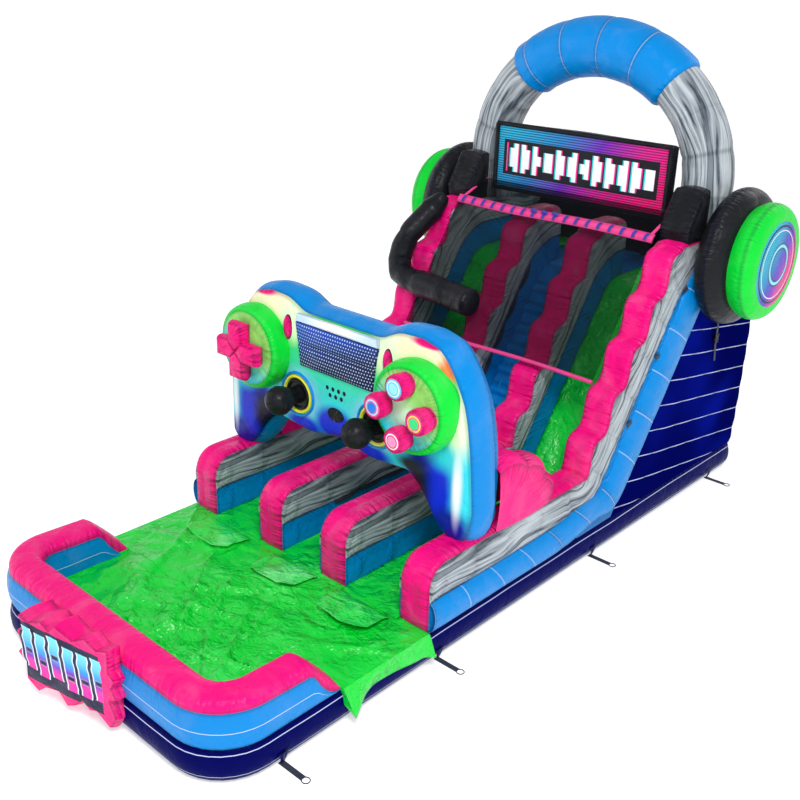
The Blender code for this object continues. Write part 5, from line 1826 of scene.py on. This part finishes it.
def make_mic():
    """Bent boom in straight puffed lengths, with a stitched round end."""
    points = (
        (0.29, 4.76, 4.20), (-0.02, 4.20, 3.56), (-0.04, 4.06, 3.10), (0.16, 3.96, 3.02), (1.73, 3.75, 2.98),
    )
    path = [Vector((x - HALF, y, z)) for x, y, z in points]
    dense = resample(elbowed(path, 0.13), 0.05)

    def radius(share):
        if share < 0.10:
            return 0.10 + share
        full = 0.208 if share > 0.62 else 0.182
        return full * min(1.0, ((1.0 - share) / 0.022 + 0.35)) ** 0.3

    cloth = Cloth()
    tube(cloth, dense, radius, 26, 0.86, 0.022)
    cloth.skin("microphone_boom", ("black",), "black_vinyl")


# ---- nets ------------------------------------------------
def make_nets():
    low, high, _ = lane_box("slope_net")
    start, end, half = low.yz, high.yz, high.x
    normal = square_to((end - start).normalized())
    down, across = 40, 60
    rows = []
    for s in parts(down):
        row = []
        for q in spread(-1.0, 1.0, across):
            sag = 0.012 * hump(s) * abs(math.sin(math.pi * q * 2.0))
            p = start.lerp(end, s) - normal * (sag + 0.006)
            row.append(Vector((half * q, p.x, p.y)))
        rows.append(row)
    long = (end - start).length
    cloth = Cloth()
    cloth.grid(rows, 0, False, None, lambda i, j: (long * i / (down - 1), 2 * half * j / (across - 1)))
    piece = cloth.finish("slope_net_sheet", ("net",), "black_mesh", replaces=("slope_net",))
    make_net_bands(start, end, half)
    make_roof_net(end)


def band_wave(x):
    """Slow rise and fall of the net's bands across the slide."""
    return 0.012 * math.sin(2.2 * x)


def make_net_bands(start, end, half):
    """Pink bands along the net's two edges, and the blue loops that tie the upper one."""
    way = (end - start).normalized()
    normal = square_to(way)
    cloth = Cloth()
    for centre, width in ((start + way * 0.02, 0.055), (end - way * 0.02, 0.135)):
        for face in (0.010, -0.014):
            rows = []
            for t in (-0.5, -0.25, 0.0, 0.25, 0.5):
                p = centre + way * width * t + normal * (face + 0.008 * math.cos(math.pi * t))
                rows.append([Vector((x, p.x, p.y + band_wave(x))) for x in spread(-half, half, 60)])
            cloth.grid(rows, 0, False, lambda i, j: (j * 0.06, min(i, 4 - i) * 0.02))
    cloth.finish("net_bands", ("pink_band",), "pink_vinyl")
    cloth = Cloth()
    for k, x in enumerate(spread(-half + 0.12, half - 0.10, 18)):
        middle = end - way * 0.02 + normal * 0.022
        middle.y += band_wave(x)
        stops = (middle - way * 0.055, middle + normal * 0.02, middle + way * 0.055)
        path = [Vector((x + 0.012 * (k - 1), p.x, p.y)) for k, p in enumerate(stops)]
        ribbon(cloth, resample(path, 0.02), 0.045, (1.0, 0.0, 0.0), thick=0.006)
        if k in (7, 8, 9):
            bow = ((-0.05, 0.0, 0.04), (0.0, -0.03, 0.07), (0.06, 0.0, 0.03))
            knot = [Vector((x, middle.x, middle.y)) + Vector(shift) for shift in bow]
            ribbon(cloth, resample(knot, 0.02), 0.04, (0.0, 0.6, 0.8), thick=0.008)
    cloth.finish("net_loops", ("blue_webbing",), "webbing")


def make_roof_net(start):
    """Net roof from the upper band to the banner's foot, with pink piping along its sides."""
    high = lane_box("roof_net")[1]
    half, finish = high.x, high.yz
    rows, down, across = [], 16, 40
    for s in parts(down):
        p = start.lerp(finish, s)
        sag = 0.02 * hump(s)
        rows.append([Vector((half * q, p.x, p.y - sag)) for q in spread(-1.0, 1.0, across)])
    long = (finish - start).length
    cloth = Cloth()
    cloth.grid(rows, 0, False, None, lambda i, j: (long * i / (down - 1), 2 * half * j / (across - 1)))
    piece = cloth.finish("roof_net_sheet", ("net",), "black_mesh", replaces=("roof_net",))
    cloth = Cloth()
    for _, way in SIDES:
        path = [Vector((way * half, p.x, p.y)) for p in (start, finish)]
        tube(cloth, resample(path, 0.08), 0.022, 10)
    cloth.finish("roof_piping", ("pink_band",), "pink_vinyl")


# ---- sign ------------------------------------------------
def make_sign():
    """Puffed spiky panel, thicker at its left end so that its face turns to the right."""
    low, high, _ = lane_box("front_sign")
    back, deep = high.y, high.y - low.y
    half, thin, drawn = 0.66, 0.16, 0.30
    points = [
        (-0.70, 0.80), (-0.60, 0.84), (-0.64, 1.02), (-0.50, 0.97), (-0.30, 1.05), (-0.18, 0.98),
        (-0.10, 1.08),
        (0.16, 1.00), (0.34, 1.10), (0.50, 1.02), (0.66, 1.08), (0.64, 0.80), (0.74, 0.74), (0.66, 0.62),
        (0.73, 0.52), (0.62, 0.44), (0.70, 0.26), (0.60, 0.10), (0.50, 0.26), (0.32, 0.20), (0.22, 0.28),
        (0.10, 0.16), (-0.02, 0.10), (-0.14, 0.24), (-0.34, 0.20), (-0.46, 0.10), (-0.62, 0.20), (-0.60, 0.44),
        (-0.74, 0.50), (-0.64, 0.60),
    ]
    outline = rounded(divided([Vector(p) for p in points], 8))

    def warp(spot):
        share = min(max((half - spot.x) / (2 * half), 0.0), 1.0)
        front = (back - spot.y) / drawn
        return Vector((spot.x, back - front * (thin + (deep - thin) * share), spot.z))

    cloth = Cloth()
    pillow(cloth, outline, (back - 0.01, back - drawn), "Y", (0.028, 0.022), (1, 1, 0), 8, warp)
    cloth.skin("front_sign", ("sign_face", "pink"), "pink_vinyl")


# ---- fittings --------------------------------------------
def make_anchors():
    """Reinforced patches on the base over each strap; the straps and rings keep their frame shape."""
    cloth = Cloth()
    for word, way in reversed(SIDES):
        for number in range(1, 5):
            node = f"stake_strap_{word}_{number}"
            repaint(node, "dark_webbing")
            low, high, middle = lane_box(node)
            root = min(abs(low.x), abs(high.x))
            rows = []
            for s in parts(8):
                half = mix(0.075, 0.032, s ** 0.6)
                z = mix(0.17, 0.012, s)
                out = mix(HALF + 0.065, max(HALF + 0.02, root - 0.012), s ** 2.0)
                rows.append([
                    Vector((way * (out + 0.012 * math.cos(math.pi / 2 * q)), middle.y + half * q, z))
                    for q in spread(-1.0, 1.0, 9)
                ])
            cloth.grid(rows, 0, False, lambda i, j: (j * 0.04, min(j, 8 - j) * 0.02))
    cloth.finish("anchor_patches", ("navy",), "navy_vinyl")


def make_zips():
    for number in (1, 2):
        repaint(f"deflation_zip_{number}", "zip")
        repaint(f"zip_slider_{number}", "steel")


def make_sleeve():
    """Gathered inflation sleeve at the back, open at its end."""
    low, high, middle = lane_box("inflation_sleeve")
    radius = (high.x - low.x) / 2
    start, end = low.y, high.y
    tie = 0.55

    def gathered(share):
        return 0.10 * radius * math.exp(-((share - tie) / 0.08) ** 2)

    profile = [(start, radius * 1.02), (start + 0.04, radius)]
    profile += [(mix(start, end, s), radius - gathered(s)) for s in spread(0.15, 0.97, 16)]
    profile += [(end, radius), (end, radius - 0.012)]
    profile += [(mix(start, end, s), radius - 0.014 - gathered(s)) for s in spread(0.97, 0.08, 16)]
    profile.append((start + 0.03, 0.004))
    rows = []
    for y, r in profile:
        row = []
        for t in all_round(48):
            ripple = 1.0 + 0.014 * math.sin(9 * t + 5.0 * y) * min(1.0, (y - start) * 6.0)
            row.append(Vector((middle.x + r * ripple * math.cos(t), y, middle.z + r * ripple * math.sin(t))))
        rows.append(row)
    cloth = Cloth()
    verts = cloth.grid(rows, 0, True, lambda i, j: (j * 0.02, abs(profile[i][0] - mix(start, end, tie))))
    cloth.close(verts)
    cloth.skin("inflation_sleeve", ("navy",), "navy_vinyl")


def make_tie_straps():
    """Straps with side-release buckles that hang under the ear cups, and small lashing tabs."""
    straps, buckles = Cloth(), Cloth()
    hang = ((0.0, 6.17, 3.05), (0.03, 6.19, 2.75), (0.0, 6.25, 2.50), (-0.01, 6.33, 2.15))
    for _, way in SIDES:
        x = way * (HALF + 0.075)
        path = [Vector((x + way * out, y, z)) for out, y, z in hang]
        ribbon(straps, resample(smooth_path(path, 5), 0.05), 0.05, (0.0, 1.0, 0.0), thick=0.006)
        box = [(6.19, 2.46), (6.29, 2.46), (6.29, 2.60), (6.19, 2.60)]
        pillow(buckles, panel_outline(box), (x - way * 0.012, x + way * 0.022), "X", (0.006, 0.006), rings=3)
        for distance in (1.35, 2.35, 3.35):
            p = slope_point(distance, 0.42)
            tab = [Vector((way * (HALF + 0.045), p.x + 0.05 * k, p.y + 0.02 * k)) for k in range(3)]
            ribbon(straps, tab, 0.06, (0.0, -0.5, 0.8), thick=0.012)
    straps.finish("tie_straps", ("dark_webbing",), "webbing")
    buckles.finish("tie_buckles", ("black",), "black_vinyl")


# ---- stage -----------------------------------------------
def make_stage():
    """Pale floor, soft light and the camera."""
    scene = bpy.context.scene
    level, rise = 45.0, 25.0
    bm = bmesh.new()
    rows = []
    for turn in all_round(96):
        ray = Vector((math.cos(turn), math.sin(turn), 0.0))
        sweep = [ray * level / 2.25, ray * level] + [
            ray * (level + rise * math.sin(a)) + Vector((0.0, 0.0, rise * (1.0 - math.cos(a))))
            for a in spread(0.1, math.pi / 2, 10)
        ]
        rows.append([bm.verts.new(p) for p in sweep])
    bm.faces.new([row[0] for row in rows])
    for row, after in zip(rows, rows[1:] + rows[:1]):
        for k in range(len(row) - 1):
            bm.faces.new((row[k], row[k + 1], after[k + 1], after[k]))
    mesh = bpy.data.meshes.new("floor")
    bm.to_mesh(mesh)
    bm.free()
    mesh.shade_smooth()
    floor = bpy.data.objects.new("floor", mesh)
    floor.location = (0.0, 0.0, -0.002)
    scene.collection.objects.link(floor)
    recipe = Recipe("floor", roughness=0.9, coat=0.0)
    grain = recipe.noise(recipe.object_place(), 3.0, 4.0)
    tint = recipe.blend(recipe.times(grain, 0.2), colour("floor"), (0.78, 0.78, 0.80))
    recipe.set("Base Color", tint)
    recipe.set("Emission Color", (1.0, 1.0, 1.0))
    recipe.set("Emission Strength", 0.45)
    mesh.materials.append(recipe.material)

    world = bpy.data.worlds.new("studio")
    world.use_nodes = True
    sky = world.node_tree.nodes["Background"].inputs
    sky["Color"].default_value = (0.96, 0.98, 1.0, 1.0)
    sky["Strength"].default_value = 0.50
    scene.world = world
    for name, place, aim, size, power in (
        ("key", (9.0, -9.0, 15.0), (0.0, 0.0, 1.0), 5.0, 1900.0),
        ("fill", (-11.0, -8.0, 9.0), (0.0, 0.0, 2.0), 8.0, 250.0),
        ("rim", (4.0, 14.0, 12.0), (0.0, 2.0, 3.0), 7.0, 350.0),
    ):
        data = bpy.data.lights.new(name, "AREA")
        data.size = size
        data.energy = power
        lamp = bpy.data.objects.new(name, data)
        lamp.location = place
        lamp.rotation_euler = (Vector(place) - Vector(aim)).to_track_quat("Z", "Y").to_euler()
        scene.collection.objects.link(lamp)

    lens = bpy.data.cameras.new("camera")
    lens.sensor_width = 36.0
    lens.lens = 46.32
    lens.clip_end = 200.0
    camera = bpy.data.objects.new("camera", lens)
    camera.location = (8.480, -7.569 + MOUTH, 7.475)
    camera.rotation_euler = [math.radians(angle) for angle in (67.158, -1.460, 42.806)]
    scene.collection.objects.link(camera)
    scene.camera = camera
    scene.view_settings.view_transform = "Standard"


def make_lane_walls():
    lane_wall("lane_wall_left_outer", -HALF, -OUTER_IN, WALL_END)
    lane_wall("lane_wall_left_inner", -INNER_OUT, -CENTRE_HALF, INNER_END, sizes().pillow_rise)
    lane_wall("lane_wall_right_inner", CENTRE_HALF, INNER_OUT, INNER_END, sizes().pillow_rise)
    lane_wall("lane_wall_right_outer", OUTER_IN, HALF, WALL_END)


# ---- operators -------------------------------------------
def make_operator(name, label, about, work):
    """An operator class that runs one of the makers above."""

    def execute(self, context):
        work()
        return {"FINISHED"}

    members = {"bl_idname": f"slide.{name}", "bl_label": label, "__doc__": about, "execute": execute}
    return type(f"SLIDE_OT_{name}", (bpy.types.Operator,), members)


OPERATORS = [make_operator(*row) for row in (
    ("stage", "Stage", "Floor, light and camera", make_stage),
    ("base", "Base", "Puffed base", make_base),
    ("tower", "Tower", "Tower skin and rear wall", make_tower),
    ("lane_walls", "Lane walls", "Four puffed lane walls", make_lane_walls),
    ("side_tubes", "Side tubes", "Blue tubes along both sides", make_side_tubes),
    ("slide_liners", "Slide liners", "Green sliding sheets", make_slide_liners),
    ("climb", "Climb", "Climbing sheet with rungs", make_climb),
    ("hand_holds", "Hand holds", "Webbing lines and loops", make_hand_holds),
    ("pool_wall", "Pool wall", "Puffed pool wall", make_pool_wall),
    ("pool_liner", "Pool liner", "Crumpled pool liner", make_pool_liner),
    ("seam_flaps", "Seam flaps", "Loose flaps over the seam", make_seam_flaps),
    ("braces", "Braces", "Pillows behind the grips", make_braces),
    ("game_pad", "Game pad", "Printed game pad and its trim", make_game_pad),
    ("discs", "Discs", "Green discs", make_discs),
    ("buttons", "Buttons", "Round buttons", make_buttons),
    ("cross", "Cross", "Direction cross", make_cross),
    ("sticks", "Sticks", "Thumb sticks", make_sticks),
    ("arch", "Arch", "Headphones band", make_arch),
    ("ear_cups", "Ear cups", "Cushions and caps", make_ear_cups),
    ("blocks", "Blocks", "Wedge blocks", make_blocks),
    ("banner", "Banner", "Printed banner", make_banner),
    ("mic", "Microphone", "Boom", make_mic),
    ("nets", "Nets", "Nets, bands and loops", make_nets),
    ("sign", "Sign", "Spiky sign", make_sign),
    ("anchors", "Anchors", "Anchor patches and straps", make_anchors),
    ("zips", "Zips", "Zips and sliders", make_zips),
    ("sleeve", "Sleeve", "Inflation sleeve", make_sleeve),
    ("tie_straps", "Tie straps", "Hanging straps and tabs", make_tie_straps),
)]


class SLIDE_PT_panel(bpy.types.Panel):
    """Lists the slide's pieces."""

    bl_label = "Water slide"
    bl_idname = "SLIDE_PT_panel"
    bl_space_type = "VIEW_3D"
    bl_region_type = "UI"
    bl_category = "Slide"

    def draw(self, context):
        for group in (context.scene.slide_sizes, context.scene.slide_colours):
            for key in group.bl_rna.properties.keys():
                if key not in ("rna_type", "name"):
                    self.layout.prop(group, key)
        for operator in OPERATORS:
            self.layout.operator(operator.bl_idname)


CLASSES = [SlideSizes, SlideColours, *OPERATORS, SLIDE_PT_panel]


def register():
    for one in CLASSES:
        bpy.utils.register_class(one)
    bpy.types.Scene.slide_sizes = bpy.props.PointerProperty(type=SlideSizes)
    bpy.types.Scene.slide_colours = bpy.props.PointerProperty(type=SlideColours)


def unregister():
    del bpy.types.Scene.slide_colours
    del bpy.types.Scene.slide_sizes
    for one in reversed(CLASSES):
        bpy.utils.unregister_class(one)


def main():
    register()
    for operator in OPERATORS:
        group, name = operator.bl_idname.split(".")
        getattr(getattr(bpy.ops, group), name)()


if __name__ == "__main__":
    main()
